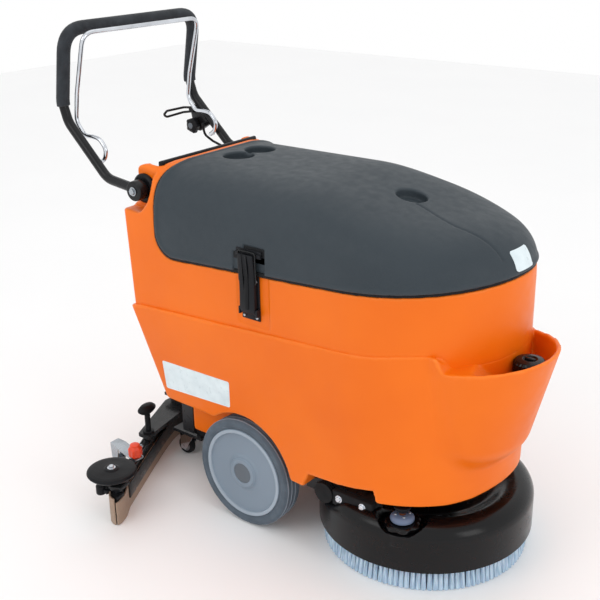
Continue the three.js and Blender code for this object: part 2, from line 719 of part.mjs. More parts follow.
function squeegeeStrip(backOffset, frontOffset, halfWidth, z0, z1) {
  const steps = 12;
  const edge = (offset) =>
    Array.from({ length: steps + 1 }, (_, i) => {
      const s = -1 + (2 * i) / steps;
      const y = halfWidth * Math.sign(s) * Math.abs(s) ** 1.25;
      const lean = (squeegeeLine(y + 1) - squeegeeLine(y - 1)) / 2;
      const length = Math.hypot(1, lean);
      return [squeegeeLine(y) + offset / length, y - (offset * lean) / length];
    });
  return planPrism([...edge(backOffset), ...edge(frontOffset).reverse()], z0, z1);
}

function bothSides(make) {
  return [make(1), make(-1)];
}

const BUMPER = { x: -254, y: 380, radius: 57, bottom: 109, top: 121 };
const TKNOB = { x: -350, y: 178 };
const SQ_CASTOR = { x: -307, y: 262, trail: 88, wheelY: 240, radius: 22, width: 16 };

function squeegeeBody() {
  const { halfWidth, bodyBottom, bodyTop } = SQUEEGEE;
  const channel = squeegeeStrip(3, 22, halfWidth, bodyBottom, bodyTop);
  const backRail = squeegeeStrip(0.3, 6, halfWidth, 52, bodyTop);
  const frontRail = squeegeeStrip(19, 24, halfWidth - 6, 52, bodyTop);
  const posts = bothSides((side) =>
    bar("z", 12, bodyTop - 1, BUMPER.bottom - 0.6, [BUMPER.x, side * BUMPER.y], 16),
  );
  const tabs = bothSides((side) => {
    const tab = planPrism([[-270, 362], [-232, 350], [-226, 384], [-244, 394], [-268, 392]], bodyTop - 1.5, 84);
    return side > 0 ? tab : mirrorY(tab);
  });
  const bosses = bothSides((side) => bar("z", 12, 70.6, 84, [TKNOB.x, side * TKNOB.y], 16));
  const nozzle = bar("z", 24, 70.6, 104, [ARM.swivelX, 0], 24);
  const suction = bar("z", 20, 60, 120, [ARM.swivelX, 0], 24).intersect(
    join(box(-460, -300, -40, 40, bodyTop, 130), squeegeeStrip(6, 60, 60, 59, 130)),
  );
  const throat = squeegeeStrip(6, 19, halfWidth - 40, bodyBottom - 1, 66);
  const stems = bothSides((side) => bar("z", 4.3, 60, 130, [SQ_CASTOR.x, side * SQ_CASTOR.y], 12));
  const solidBody = join(channel, backRail, frontRail, ...posts, ...tabs, ...bosses, nozzle);
  return cut(solidBody, suction, throat, ...stems);
}

function rearBlade() {
  return squeegeeStrip(-4, 0, SQUEEGEE.halfWidth + 12, 0.6, 70);
}

function frontBlade() {
  return squeegeeStrip(24.3, 28, SQUEEGEE.halfWidth - 8, 0.6, 58);
}

function bumperRoller(side) {
  const { x, y, radius, bottom, top } = BUMPER;
  return turned(
    [[5.3, bottom], [radius - 4, bottom], [radius, bottom + 4], [radius, top - 3], [radius - 5, top],
     [14, top + 3], [5.3, top + 3], [5.3, bottom]],
    x, side * y, 24,
  );
}

function squeegeeFork(side) {
  const { x, y, trail, wheelY, radius, width } = SQ_CASTOR;
  const cheek = width / 2 + 2;
  const wheelX = x - trail;
  const plate = planPrism(
    [[wheelX - 12, wheelY - cheek - 3], [wheelX + 14, wheelY - cheek - 3], [x + 14, y - 12],
     [x + 14, y + 12], [x - 12, y + 12], [wheelX - 12, wheelY + cheek + 3]],
    75.4, 79.4,
  );
  const outline = [[wheelX - 8, radius - 7], [wheelX + 8, radius - 7], [wheelX + 14, 76], [wheelX - 12, 76]];
  const cheeks = [[cheek, cheek + 3], [-cheek - 3, -cheek]].map(([from, to]) =>
    sidePrism(outline, wheelY + from, wheelY + to),
  );
  const pin = bar("y", 3, wheelY - cheek - 4, wheelY + cheek + 4, [wheelX, radius], 12);
  const made = join(plate, ...cheeks, pin).subtract(bar("z", 4.3, 60, 100, [x, y], 12));
  return side > 0 ? made : mirrorY(made);
}

function heightKnob(side) {
  const { x, y } = SQ_CASTOR;
  return turned(
    [[0, 64], [4, 64], [4, 79.8], [13, 79.8], [16, 84], [16, 104], [12, 112], [0, 114]],
    x, side * y, 24,
  );
}

function clampKnob(side) {
  const { x, y } = TKNOB;
  const stem = bar("z", 7, 94.4, 150, [x, side * y], 16);
  const grip = new THREE.SphereGeometry(1, 12, 8).scale(15, 27, 13).translate(x, side * y, 158);
  return join(stem, solid(grip), bar("z", 14, 94.4, 100, [x, side * y], 16));
}

function squeegeeYoke() {
  const cross = planPrism(
    [[-440, -34], [-440, 34], [-366, 196], [-332, 196], [-366, 34], [-366, -34], [-332, -196], [-366, -196]],
    84.4, 94,
  );
  const hub = bar("z", 34, 84.4, 110, [ARM.swivelX, 0], 24);
  const stemHoles = bothSides((side) => bar("z", 7.3, 80, 100, [TKNOB.x, side * TKNOB.y], 16));
  return cut(join(cross, hub), bar("z", 24.5, 60, 140, [ARM.swivelX, 0], 24), ...stemHoles);
}

function squeegeeArm() {
  const { pivotX, pivotZ } = ARM;
  const cheekOutline = [
    [pivotX - 8, pivotZ + 14], [pivotX + 12, pivotZ + 12], [pivotX + 12, pivotZ - 10],
    [-290, 96], [-330, 96], [-330, 112], [-290, 118],
  ];
  const cheeks = [sidePrism(cheekOutline, 24, 34), sidePrism(cheekOutline, -34, -24)];
  const bridge = box(-440, -290, -34, 34, 110.4, 118);
  const post = box(-330, -290, -34, 34, 104, 118);
  const pin = bar("y", 5, -47, 47, [pivotX, pivotZ], 16);
  const hoseHole = bar("z", 26, 90, 140, [ARM.swivelX, 0], 24);
  return cut(join(...cheeks, bridge, post, pin), hoseHole);
}

// ---- brush deck ---------------------------------------------------------------------------
function deckCover() {
  const { x, radius, rimBottom, rimTop, top, wall } = DECK;
  const shoulder = 35;
  const outer = [];
  const inner = [];
  for (let i = 0; i <= 4; i += 1) {
    const angle = (Math.PI / 2) * (i / 4);
    outer.push([radius - shoulder + shoulder * Math.cos(angle), rimTop + (top - rimTop) * Math.sin(angle)]);
    inner.push([
      radius - shoulder + (shoulder - wall) * Math.cos(angle),
      rimTop + (top - wall - rimTop) * Math.sin(angle),
    ]);
  }
  const profile = [[radius, rimBottom], ...outer, [44, top], [44, top - wall]];
  profile.push(...inner.reverse(), [radius - wall, rimBottom], [radius, rimBottom]);
  const shell = turned(profile, x, 0, 40);
  const boss = turned([[16, 100], [42, 100], [42, 129], [16, 129], [16, 100]], WHEEL_POINT.x, WHEEL_POINT.y, 24);
  return join(shell.subtract(bar("z", 40, 90, 200, [WHEEL_POINT.x, WHEEL_POINT.y], 24)), boss);
}

const WHEEL_POINT = { x: 392, y: -182 };

function deckHandwheel() {
  const { x, y } = WHEEL_POINT;
  const lobes = Array.from({ length: 7 }, (_, i) => {
    const angle = (2 * Math.PI * i) / 7;
    return bar("z", 8, 129.4, 140, [x + 27 * Math.cos(angle), y + 27 * Math.sin(angle)], 8);
  });
  const made = join(bar("z", 28, 129.4, 140, [x, y], 24), ...lobes);
  return made.subtract(bar("z", 6.3, 100, 200, [x, y], 16));
}

function deckBush() {
  const { x, y } = WHEEL_POINT;
  return turned(
    [[0, 104], [6, 104], [6, 140.4], [26, 140.4], [28, 144], [28, 154], [24, 160], [12, 161],
     [10, 168], [0, 168]],
    x, y, 20,
  );
}

function deckArm() {
  const { x, z } = DECK_PIVOT;
  const outline = [
    [x - 11, 136], [330, 134], [336, 142], [330, 162], [200, 170], [x + 7, z + 20], [x - 11, z + 9],
  ];
  const plate = sidePrism(outline, 168, 190);
  const inboard = sidePrism([[x - 10, 136.5], [x + 12, 136.5], [x + 12, z + 14], [x - 10, z + 9]], 142.6, 170);
  const bolts = [[190, 152], [300, 150]].map(([bx, bz]) => bar("y", 8, 189, 196, [bx, bz], 6));
  const half = join(plate, inboard, ...bolts);
  const bridge = box(236, 400, -70, 70, 132.3, 139);
  const tie = box(240, 300, -175, 175, 133.4, 139);
  const shaft = bar("y", 6, -150, 150, [x, z], 16);
  return join(half, mirrorY(half), bridge, tie, shaft).subtract(bar("z", 16, 100, 200, [DECK.x, 0], 20));
}

function brushMotor() {
  const { radius, bottom, top } = MOTOR;
  return turned(
    [[0, 104.3], [34, 104.3], [34, 110], [12, 112], [12, bottom], [radius, bottom], [radius, 196], [radius - 8, 204],
     [radius - 8, top - 8], [radius - 16, top], [0, top]],
    DECK.x, 0, 24,
  );
}

function brushBlock() {
  const { blockBottom, blockTop } = BRUSH;
  return turned(
    [[0, blockBottom + 8], [60, blockBottom + 8], [100, blockBottom + GAP], [207, blockBottom + GAP],
     [207, blockTop - 6], [200, blockTop], [60, blockTop], [40, 104], [0, 104]],
    DECK.x, 0, 36,
  );
}

function bristles() {
  const { radius, inner, blockBottom } = BRUSH;
  return turned(
    [[inner, 0], [radius, 0], [204, blockBottom], [inner + 4, blockBottom], [inner, 0]],
    DECK.x, 0, 36,
  );
}

// ---- assembly -----------------------------------------------------------------------------
const machine = new THREE.Group();

function add(name, made, finishName) {
  const mesh = new THREE.Mesh(geometryOf(made), new THREE.MeshStandardMaterial(FINISHES[finishName]));
  mesh.name = name;
  machine.add(mesh);
}

function addPair(name, make, finishName) {
  add(`${name}_left`, make(1), finishName);
  add(`${name}_right`, make(-1), finishName);
}

function mirrored(make) {
  return (side) => (side > 0 ? make() : mirrorY(make()));
}

add("chassis_frame", chassisFrame(), "blackPaint");
add("solution_tank", solutionTank(), "orangeTank");
add("recovery_tank", recoveryTank(), "orangeTank");
add("lid", lid(), "slateLid");
add("lid_gasket", lidGasket(), "blackRubber");
add("lid_catch", lidCatch(), "blackPlastic");
add("lid_hinge", lidHinge(), "blackPlastic");
add("hinge_pin", hingePin(), "steel");
add("latch_base", latchBase(), "blackPlastic");
add("latch_lever", latchLever(), "blackPlastic");
add("latch_wire", latchWire(), "chrome");
add("dashboard_panel", dashboardPanel(), "blackPlastic");
add("brush_switch", rockerSwitch(SWITCH.y[0]), "greyPlastic");
add("vacuum_switch", rockerSwitch(SWITCH.y[1]), "redKnob");
addPair("battery", battery, "batteryCase");
add("vacuum_motor", vacuumMotor(), "blackPlastic");
add("float_cage", floatCage(), "greyPlastic");
add("fill_cap", fillCap(), "blackPlastic");
add("axle", axle(), "steel");
addPair("tyre", mirrored(tyre), "tyre");
addPair("wheel_disc", mirrored(wheelDisc), "greyPlastic");
addPair("castor_fork", (side) => forkAround(rearCastor(side), 72, 96), "chrome");
addPair("castor_wheel", (side) => smallWheel(rearCastor(side)), "tyre");
add("handle_tube", handleTube(), "blackPaint");
add("foam_grip", foamGrip(), "foam");
addPair("handle_seat", handleSeat, "blackPlastic");
addPair("handle_bolt", handleBolt, "chrome");
add("bail", bail(), "chrome");
add("lift_lever", liftLever(), "blackPaint");
add("star_knob", starKnob(), "blackPlastic");
add("lift_cable", liftCable(), "blackRubber");
add("squeegee_arm", squeegeeArm(), "blackPaint");
add("squeegee_yoke", squeegeeYoke(), "blackPaint");
add("squeegee_body", squeegeeBody(), "blackPlastic");
add("rear_blade", rearBlade(), "bladeRubber");
add("front_blade", frontBlade(), "bladeRubber");
addPair("bumper_roller", bumperRoller, "blackPlastic");
addPair("squeegee_fork", squeegeeFork, "chrome");
addPair("squeegee_wheel", (side) => smallWheel({ ...SQ_CASTOR, y: side * SQ_CASTOR.wheelY }), "greyPlastic");
addPair("height_knob", heightKnob, "redKnob");
addPair("clamp_knob", clampKnob, "blackPlastic");
add("deck_cover", deckCover(), "blackPlastic");
add("deck_arm", deckArm(), "blackPaint");
add("deck_handwheel", deckHandwheel(), "blackPlastic");
add("deck_bush", deckBush(), "blueGrey");
add("brush_motor", brushMotor(), "steel");
add("brush_block", brushBlock(), "blockGrey");
add("bristles", bristles(), "bristle");

// The frame's origin is under the middle of the whole machine, on the floor.
const extent = new THREE.Box3().setFromObject(machine);
const middle = extent.getCenter(new THREE.Vector3());
machine.children.forEach((mesh) => mesh.geometry.translate(-middle.x, 0, 0));

export default machine;
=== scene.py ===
"""The looks of a walk-behind wet and dry floor scrubber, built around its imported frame.

Shapes are drawn in millimetres in the machine's own frame: x = 0 at the main axle, +X forward
to the brush, +Y to the machine's left, +Z up. They move to the row's frame, in metres, when
they become pieces.
"""
import math

import bmesh
import bpy
import numpy as np
from mathutils import Matrix, Vector
from mathutils.bvhtree import BVHTree


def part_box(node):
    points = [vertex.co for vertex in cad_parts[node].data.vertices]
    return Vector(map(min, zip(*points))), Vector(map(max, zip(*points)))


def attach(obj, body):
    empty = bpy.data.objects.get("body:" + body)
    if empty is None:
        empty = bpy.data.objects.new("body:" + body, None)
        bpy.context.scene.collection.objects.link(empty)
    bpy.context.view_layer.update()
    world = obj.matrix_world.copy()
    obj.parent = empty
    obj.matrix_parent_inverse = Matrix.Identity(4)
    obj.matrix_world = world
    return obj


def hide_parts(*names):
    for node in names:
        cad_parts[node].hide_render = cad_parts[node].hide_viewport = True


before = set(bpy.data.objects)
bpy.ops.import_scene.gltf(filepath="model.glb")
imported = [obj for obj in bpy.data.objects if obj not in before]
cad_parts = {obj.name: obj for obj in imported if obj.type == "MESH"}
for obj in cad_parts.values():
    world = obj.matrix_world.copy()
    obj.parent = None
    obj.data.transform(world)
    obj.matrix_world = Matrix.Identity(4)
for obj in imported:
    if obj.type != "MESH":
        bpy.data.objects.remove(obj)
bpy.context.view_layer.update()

axle_low, axle_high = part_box("axle")
TO_ROW = Matrix.Translation(((axle_low.x + axle_high.x) / 2, 0, 0)) @ Matrix.Scale(0.001, 4)

# ---- driving dimensions, in millimetres -----------------------------------------------------
WHEEL = {"radius": 127, "middle": 200, "half": 25, "disc": 104}
ARCH = {"radius": 139, "x": 6, "z": 130, "inner": 160}
DECK = {"x": 333, "radius": 231, "rim_bottom": 49, "crown": 150, "floor": 132, "wall": 4}
TANK = {"rear": -338, "nose": 540, "rear_half": 215, "nose_half": 228}
TANK_FOOT = {"z": 170, "rear": -222, "nose": 526, "rear_half": 205, "nose_half": 240}
TANK_TOP = {"z": 455, "rear": -338, "nose": 538, "rear_half": 219, "nose_half": 230}
NOSE_START = 270
LID = {"rear": -235, "corner": 50, "edge": 588, "rise": 62, "wall": 8}
LID_CUPS = [(-160, -20, 35), (-160, 52, 35), (277, 4, 32)]
CROWN = {"foot": 600, "top": 780, "nose": 732}
POCKET = {"x": 473, "y": -38, "foot": 250, "lip": 505, "wall": 9, "floor": 440}
HANDLE = {"x": -295, "z": 719, "half_span": 202, "tube": 11, "foam": 15, "foam_start": 879}
LATCH = {"x": 40, "z": 523, "width": 40, "face": -217.2}
CAP = {"x": 566, "y": -20, "radius": 31}
BUMPER = {"x": -254, "y": 380, "radius": 57, "bottom": 109, "top": 121}
BUSH = {"x": 392, "y": -182, "well": 46}
BRUSH = {"radius": 222, "top": 57}
HINGE = {"x": 40, "y": 231.3, "z": 621}
GAUGE = (-297, -70)
SIDES = (("left", 1), ("right", -1))


# ---- camera, lights and floor ---------------------------------------------------------------
CAMERA = {"place": (1.2965, -1.650, 1.301), "lens": 60.86, "yaw": 38.98, "pitch": 21.51, "roll": -0.99}


def add_camera():
    """The viewpoint: from the front right, looking down at the machine's side."""
    yaw, pitch, roll = (math.radians(CAMERA[turn]) for turn in ("yaw", "pitch", "roll"))
    forward = Vector(
        (-math.sin(yaw) * math.cos(pitch), math.cos(yaw) * math.cos(pitch), -math.sin(pitch))
    )
    level = Vector((math.cos(yaw), math.sin(yaw), 0))
    right = level * math.cos(roll) + level.cross(forward) * math.sin(roll)
    up = right.cross(forward)
    turn = Matrix((right, up, -forward)).transposed().to_4x4()
    data = bpy.data.cameras.new("camera")
    data.sensor_width = 36
    data.lens = CAMERA["lens"]
    camera = bpy.data.objects.new("camera", data)
    bpy.context.scene.collection.objects.link(camera)
    camera.matrix_world = Matrix.Translation(CAMERA["place"]) @ turn
    bpy.context.scene.camera = camera


def add_area_light(name, place, target, size, power):
    data = bpy.data.lights.new(name, "AREA")
    data.shape = "RECTANGLE"
    data.size, data.size_y = size
    data.energy = power
    light = bpy.data.objects.new(name, data)
    bpy.context.scene.collection.objects.link(light)
    light.location = place
    light.rotation_euler = (Vector(target) - Vector(place)).to_track_quat("-Z", "Y").to_euler()


def add_studio():
    """An even white surround with three soft lights: one beside, one ahead, one above."""
    world = bpy.data.worlds.new("studio")
    bpy.context.scene.world = world
    world.use_nodes = True
    background = world.node_tree.nodes["Background"]
    background.inputs["Color"].default_value = (1, 1, 1, 1)
    background.inputs["Strength"].default_value = 1
    add_area_light("key", (-0.6, -2.6, 2.4), (0, 0, 0.4), (1.6, 1.2), 12)
    add_area_light("front", (3.2, -0.6, 1.5), (0.2, 0, 0.4), (1.0, 1.6), 12)
    add_area_light("top", (0.1, 0.4, 3.2), (0, 0, 0.5), (2.4, 2.0), 6)
    bpy.context.scene.view_settings.view_transform = "Standard"


def add_floor(paint):
    mesh = bpy.data.meshes.new("floor")
    reach = 6
    corners = [(-reach, -reach, 0), (reach, -reach, 0), (reach, reach, 0), (-reach, reach, 0)]
    mesh.from_pydata(corners, [], [(0, 1, 2, 3)])
    mesh.materials.append(paint)
    floor = bpy.data.objects.new("floor", mesh)
    bpy.context.scene.collection.objects.link(floor)


# ---- materials ------------------------------------------------------------------------------
def linear(red, green, blue):
    """A colour given as 0 to 255 screen values, in the renderer's linear values."""
    values = [c / 255 for c in (red, green, blue)]
    return [c / 12.92 if c <= 0.04045 else ((c + 0.055) / 1.055) ** 2.4 for c in values] + [1]


class Surface:
    """A material under construction: a Principled shader and a short way to add noise to it."""

    def __init__(self, name, metallic=0.0, **sockets):
        self.material = bpy.data.materials.new(name)
        self.material.use_nodes = True
        tree = self.material.node_tree
        self.nodes, self.links = tree.nodes, tree.links
        self.shader = self.nodes["Principled BSDF"]
        self.shader.inputs["Metallic"].default_value = metallic
        for socket, value in sockets.items():
            self.shader.inputs[socket.replace("_", " ")].default_value = value
        self.place = self.nodes.new("ShaderNodeTexCoord").outputs["Object"]
        self.normal = None

    def texture(self, kind, stretch, **sockets):
        """A procedural texture over the piece's own coordinates, stretched along its axes."""
        mapping = self.nodes.new("ShaderNodeMapping")
        mapping.inputs["Scale"].default_value = stretch
        self.links.new(self.place, mapping.inputs["Vector"])
        texture = self.nodes.new(kind)
        for socket, value in sockets.items():
            texture.inputs[socket].default_value = value
        self.links.new(mapping.outputs["Vector"], texture.inputs["Vector"])
        return texture.outputs

    def noise(self, scale, detail=3, stretch=(1, 1, 1), roughness=0.5):
        made = self.texture(
            "ShaderNodeTexNoise", stretch, Scale=scale, Detail=detail, Roughness=roughness)
        return made["Fac"]

    def cells(self, scale):
        return self.texture("ShaderNodeTexVoronoi", (1, 1, 1), Scale=scale)["Distance"]

    def range(self, value, low, high, start=0.3, end=0.7):
        node = self.nodes.new("ShaderNodeMapRange")
        limits = {"From Min": start, "From Max": end, "To Min": low, "To Max": high}
        for socket, number in limits.items():
            node.inputs[socket].default_value = number
        self.links.new(value, node.inputs["Value"])
        return node.outputs["Result"]

    def mix(self, amount, first, second):
        node = self.nodes.new("ShaderNodeMix")
        node.data_type = "RGBA"
        self.links.new(amount, node.inputs["Factor"])
        for socket, colour in ((node.inputs[6], first), (node.inputs[7], second)):
            if isinstance(colour, bpy.types.NodeSocket):
                self.links.new(colour, socket)
            else:
                socket.default_value = colour
        return node.outputs[2]

    def edges(self, start=0.505, end=0.56):
        """High where the surface turns sharply outwards, for worn or lighter edges."""
        geometry = self.nodes.new("ShaderNodeNewGeometry")
        return self.range(geometry.outputs["Pointiness"], 0, 1, start, end)

    def colour(self, output):
        self.links.new(output, self.shader.inputs["Base Color"])

    def roughness(self, output):
        self.links.new(output, self.shader.inputs["Roughness"])

    def bump(self, height, distance, strength=1.0):
        node = self.nodes.new("ShaderNodeBump")
        node.inputs["Strength"].default_value = strength
        node.inputs["Distance"].default_value = distance
        self.links.new(height, node.inputs["Height"])
        if self.normal is not None:
            self.links.new(self.normal, node.inputs["Normal"])
        self.normal = node.outputs["Normal"]
        self.links.new(self.normal, self.shader.inputs["Normal"])


def moulded_plastic(name, colour, rough=0.42, drift=0.9, grain=0.00012, coat=0.0, edge=1.12, shine=0.3):
    """Moulded plastic: slow colour drift, fine grain, a little sink, and lighter edges."""
    surface = Surface(name, Coat_Weight=coat, Coat_Roughness=0.18, Specular_IOR_Level=shine)
    base = linear(*colour)
    darker = [c * drift for c in base[:3]] + [1]
    lighter = [min(1, c * edge) for c in base[:3]] + [1]
    slow = surface.range(surface.noise(5, 2), 0, 1)
    body = surface.mix(slow, darker, base)
    surface.colour(surface.mix(surface.edges(), body, lighter))
    surface.roughness(surface.range(surface.noise(34, 4), rough - 0.07, rough + 0.07))
    surface.bump(surface.noise(24, 2), 0.0006, 0.35)
    surface.bump(surface.noise(900, 2), grain, 0.8)
    return surface.material


def orange_plastic():
    """Rotomoulded polyethylene: satin, with orange-peel, slow waves and specks of scuffing."""
    surface = Surface(
        "orange_polyethylene", Coat_Weight=0.03, Coat_Roughness=0.35, Specular_IOR_Level=0.27)
    base, deep = linear(239, 114, 8), linear(229, 104, 5)
    body = surface.mix(surface.range(surface.noise(4, 3), 0, 1), deep, base)
    scuffed = surface.range(surface.noise(60, 8, (1, 1, 3), 0.7), 0, 0.35, 0.62, 0.78)
    body = surface.mix(scuffed, body, linear(244, 122, 34))
    surface.colour(surface.mix(surface.edges(0.51, 0.6), body, linear(247, 132, 44)))
    surface.roughness(surface.range(surface.noise(40, 5), 0.34, 0.48))
    surface.bump(surface.noise(9, 2), 0.0016, 0.35)
    surface.bump(surface.noise(420, 2), 0.00012, 0.7)
    return surface.material


def slate_plastic():
    """The lid's slate polyethylene: a leathery moulded grain that scatters the light."""
    surface = Surface(
        "slate_polyethylene", Sheen_Weight=0.02, Sheen_Roughness=0.5, Specular_IOR_Level=0.22)
    base, deep = linear(51, 59, 65), linear(43, 51, 57)
    body = surface.mix(surface.range(surface.noise(6, 4), 0, 1), deep, base)
    fleck = surface.range(surface.noise(1400, 2), 0, 1, 0.35, 0.65)
    body = surface.mix(fleck, body, linear(57, 65, 71))
    surface.colour(surface.mix(surface.edges(0.51, 0.6), body, linear(70, 77, 83)))
    surface.roughness(surface.range(surface.noise(50, 5), 0.46, 0.6))
    surface.bump(surface.noise(9, 2), 0.0014, 0.12)
    surface.bump(surface.cells(1100), 0.00016, 0.6)
    return surface.material


def painted_steel(name, colour, rough=0.28, coat=0.12):
    """Powder-coated steel: orange-peel under a clear gloss, with worn lighter edges."""
    surface = Surface(name, Coat_Weight=coat, Coat_Roughness=0.12, Specular_IOR_Level=0.2)
    base = linear(*colour)
    worn = [c * 2.2 + 0.01 for c in base[:3]] + [1]
    dust = [c * 1.5 + 0.004 for c in base[:3]] + [1]
    body = surface.mix(surface.range(surface.noise(14, 6), 0, 1, 0.45, 0.75), base, dust)
    surface.colour(surface.mix(surface.edges(0.52, 0.62), body, worn))
    surface.roughness(surface.range(surface.noise(60, 5), rough - 0.06, rough + 0.1))
    surface.bump(surface.noise(520, 2), 0.00008, 0.8)
    return surface.material


def metal(name, colour, rough, brushed=(1, 1, 1), tarnish=0.85):
    """Bare or plated metal with fine drawing marks, faint tarnish and uneven polish."""
    surface = Surface(name, metallic=1.0)
    base = linear(*colour)
    dull = [c * tarnish for c in base[:3]] + [1]
    surface.colour(surface.mix(surface.range(surface.noise(30, 6), 0, 1, 0.4, 0.7), base, dull))
    surface.roughness(surface.range(surface.noise(90, 6, brushed), rough * 0.6, rough * 1.6))
    surface.bump(surface.noise(700, 3, brushed), 0.00003, 0.6)
    return surface.material


def rubber(name, colour, rough=0.72, scuff=1.35):
    """Rubber: matt, a little dusty in patches, with fine pitting."""
    surface = Surface(name, Sheen_Weight=0.04, Sheen_Roughness=0.6, Specular_IOR_Level=0.15)
    base = linear(*colour)
    dusty = [min(1, c * scuff) for c in base[:3]] + [1]
    patches = surface.range(surface.noise(26, 7, roughness=0.65), 0, 1, 0.42, 0.72)
    body = surface.mix(patches, base, dusty)
    surface.colour(surface.mix(surface.edges(0.515, 0.6), body, dusty))
    surface.roughness(surface.range(surface.noise(70, 5), rough - 0.1, rough + 0.12))
    surface.bump(surface.noise(650, 3), 0.0001, 0.7)
    return surface.material


def foam_rubber():
    """Closed-cell grip foam: open pores all over with painted shade in each pore, and a soft bloom."""
    surface = Surface("grip_foam", Sheen_Weight=0.12, Sheen_Roughness=0.45, Specular_IOR_Level=0.25)
    base, bloom = linear(42, 45, 49), linear(55, 59, 64)
    pore_relief_and_shade = surface.cells(620)
    body = surface.mix(surface.range(surface.noise(40, 5), 0, 1, 0.35, 0.7), base, bloom)
    # each pore's centre is painted darker: painted shade inside the pores
    surface.colour(surface.mix(surface.range(pore_relief_and_shade, 1, 0, 0.0, 0.25), body, linear(27, 29, 32)))
    surface.roughness(surface.range(surface.noise(90, 4), 0.82, 0.97))
    surface.bump(pore_relief_and_shade, 0.0004, 0.7)
    surface.bump(surface.noise(120, 4), 0.0003, 0.5)
    return surface.material


def brush_nylon():
    """Nylon bristle: streaked along its length, translucent pale blue."""
    surface = Surface("bristle_nylon", Subsurface_Weight=0.12, Subsurface_Scale=0.004)
    base, shade = linear(196, 216, 232), linear(148, 174, 198)
    streaks = surface.range(surface.noise(260, 4, (1, 1, 0.06)), 0, 1, 0.35, 0.65)
    surface.colour(surface.mix(streaks, shade, base))
    surface.roughness(surface.range(surface.noise(180, 3), 0.45, 0.65))
    surface.bump(surface.noise(900, 3, (1, 1, 0.05)), 0.0005, 0.8)
    return surface.material


def label_paper():
    """A blank vinyl label: off-white, faintly printed with dots, under gloss laminate."""
    surface = Surface("label_vinyl", Coat_Weight=0.4, Coat_Roughness=0.1)
    base, faded = linear(222, 234, 238), linear(206, 219, 224)
    surface.colour(surface.mix(surface.range(surface.noise(45, 5), 0, 1), faded, base))
    surface.roughness(surface.range(surface.noise(90, 4), 0.25, 0.4))
    surface.bump(surface.noise(300, 2), 0.00005, 0.6)
    return surface.material


def floor_paint():
    surface = Surface("pale_floor")
    surface.colour(surface.mix(surface.noise(1.5, 3), (0.92, 0.92, 0.925, 1), (0.95, 0.95, 0.95, 1)))
    surface.roughness(surface.range(surface.noise(8, 4), 0.5, 0.62))
    return surface.material


PAINT = {
    "orange": orange_plastic(),
    "slate": slate_plastic(),
    "black_plastic": moulded_plastic("black_polypropylene", (20, 21, 24), 0.4, 0.8, edge=1.8, shine=0.14),
    "deck_black": moulded_plastic("gloss_black_abs", (9, 9, 11), 0.24, 0.85, 0.00005, 0.12, 1.6, 0.2),
    "black_paint": painted_steel("black_powder_coat", (17, 18, 20)),
    "chrome": metal("chrome_plate", (214, 218, 224), 0.13, (1, 1, 0.1), 0.8),
    "steel": metal("zinc_plated_steel", (178, 184, 190), 0.3, (1, 1, 1), 0.72),
    "foam": foam_rubber(),
    "tyre": rubber("tyre_rubber", (80, 90, 100), 0.68),
    # the tyre rubber lightened: a painted highlight for the ribs of the tread
    "tyre_ridge_highlight": rubber("tyre_rubber_painted_highlight", (128, 137, 148), 0.66, 1.2),
    "grey_plastic": moulded_plastic("grey_polyamide", (130, 144, 158), 0.42, 0.9),
    "pale_grey": moulded_plastic("pale_grey_polyamide", (158, 170, 182), 0.4, 0.92),
    "hub_grey": moulded_plastic("hub_cap_plastic", (98, 106, 114), 0.45, 0.85),
    "bristle": brush_nylon(),
    "blade": rubber("tan_blade_rubber", (150, 129, 112), 0.55, 1.15),
    "red": moulded_plastic("red_knob_plastic", (230, 70, 36), 0.35, 0.9, coat=0.2),
    "black_rubber": rubber("black_rubber", (17, 18, 20), 0.6, 1.6),
    "battery": moulded_plastic("battery_case_plastic", (42, 44, 48), 0.55, 0.8),
    "blue_grey": moulded_plastic("blue_grey_plastic", (102, 116, 142), 0.45, 0.85),
    "copper": metal("copper_cone", (168, 98, 66), 0.3, (1, 1, 1), 0.5),
    "label": label_paper(),
}


# ---- shapes: points in millimetres and faces ------------------------------------------------
class Shape:
    def __init__(self, points, faces):
        self.points = np.asarray(points, float).reshape(-1, 3)
        self.faces = [tuple(int(i) for i in face) for face in faces]

    def moved(self, matrix):
        turn = np.array(matrix, float)
        points = self.points @ turn[:3, :3].T + turn[:3, 3]
        flip = np.linalg.det(turn[:3, :3]) < 0
        return Shape(points, [face[::-1] for face in self.faces] if flip else self.faces)

    def at(self, x=0.0, y=0.0, z=0.0):
        return self.moved(Matrix.Translation((x, y, z)))

    def mirrored(self):
        return self.moved(Matrix.Diagonal((1, -1, 1, 1)))


def joined(*shapes):
    points, faces, start = [], [], 0
    for shape in shapes:
        points.append(shape.points)
        faces += [tuple(i + start for i in face) for face in shape.faces]
        start += len(shape.points)
    return Shape(np.concatenate(points), faces)


def on_side(shape, side):
    """The left-hand shape, or its mirror image for the right-hand side."""
    return shape if side > 0 else shape.mirrored()


def turn_to(axis):
    """The turn that takes +Z to the given axis."""
    return {
        "x": Matrix.Rotation(math.pi / 2, 4, "Y"),
        "y": Matrix.Rotation(-math.pi / 2, 4, "X"),
        "z": Matrix.Identity(4),
    }[axis]


def softened(made, width, segments=2, angle=35):
    """The bmesh as a Shape, with its sharp edges rounded off."""
    bmesh.ops.recalc_face_normals(made, faces=made.faces)
    if width > 0:
        sharp = [
            edge for edge in made.edges
            if len(edge.link_faces) == 2 and edge.calc_face_angle() > math.radians(angle)
        ]
        bmesh.ops.bevel(
            made, geom=sharp, offset=width, segments=segments, profile=0.5, affect="EDGES",
            clamp_overlap=True,
        )
    made.verts.index_update()
    shape = Shape([v.co for v in made.verts], [[v.index for v in f.verts] for f in made.faces])
    made.free()
    return shape


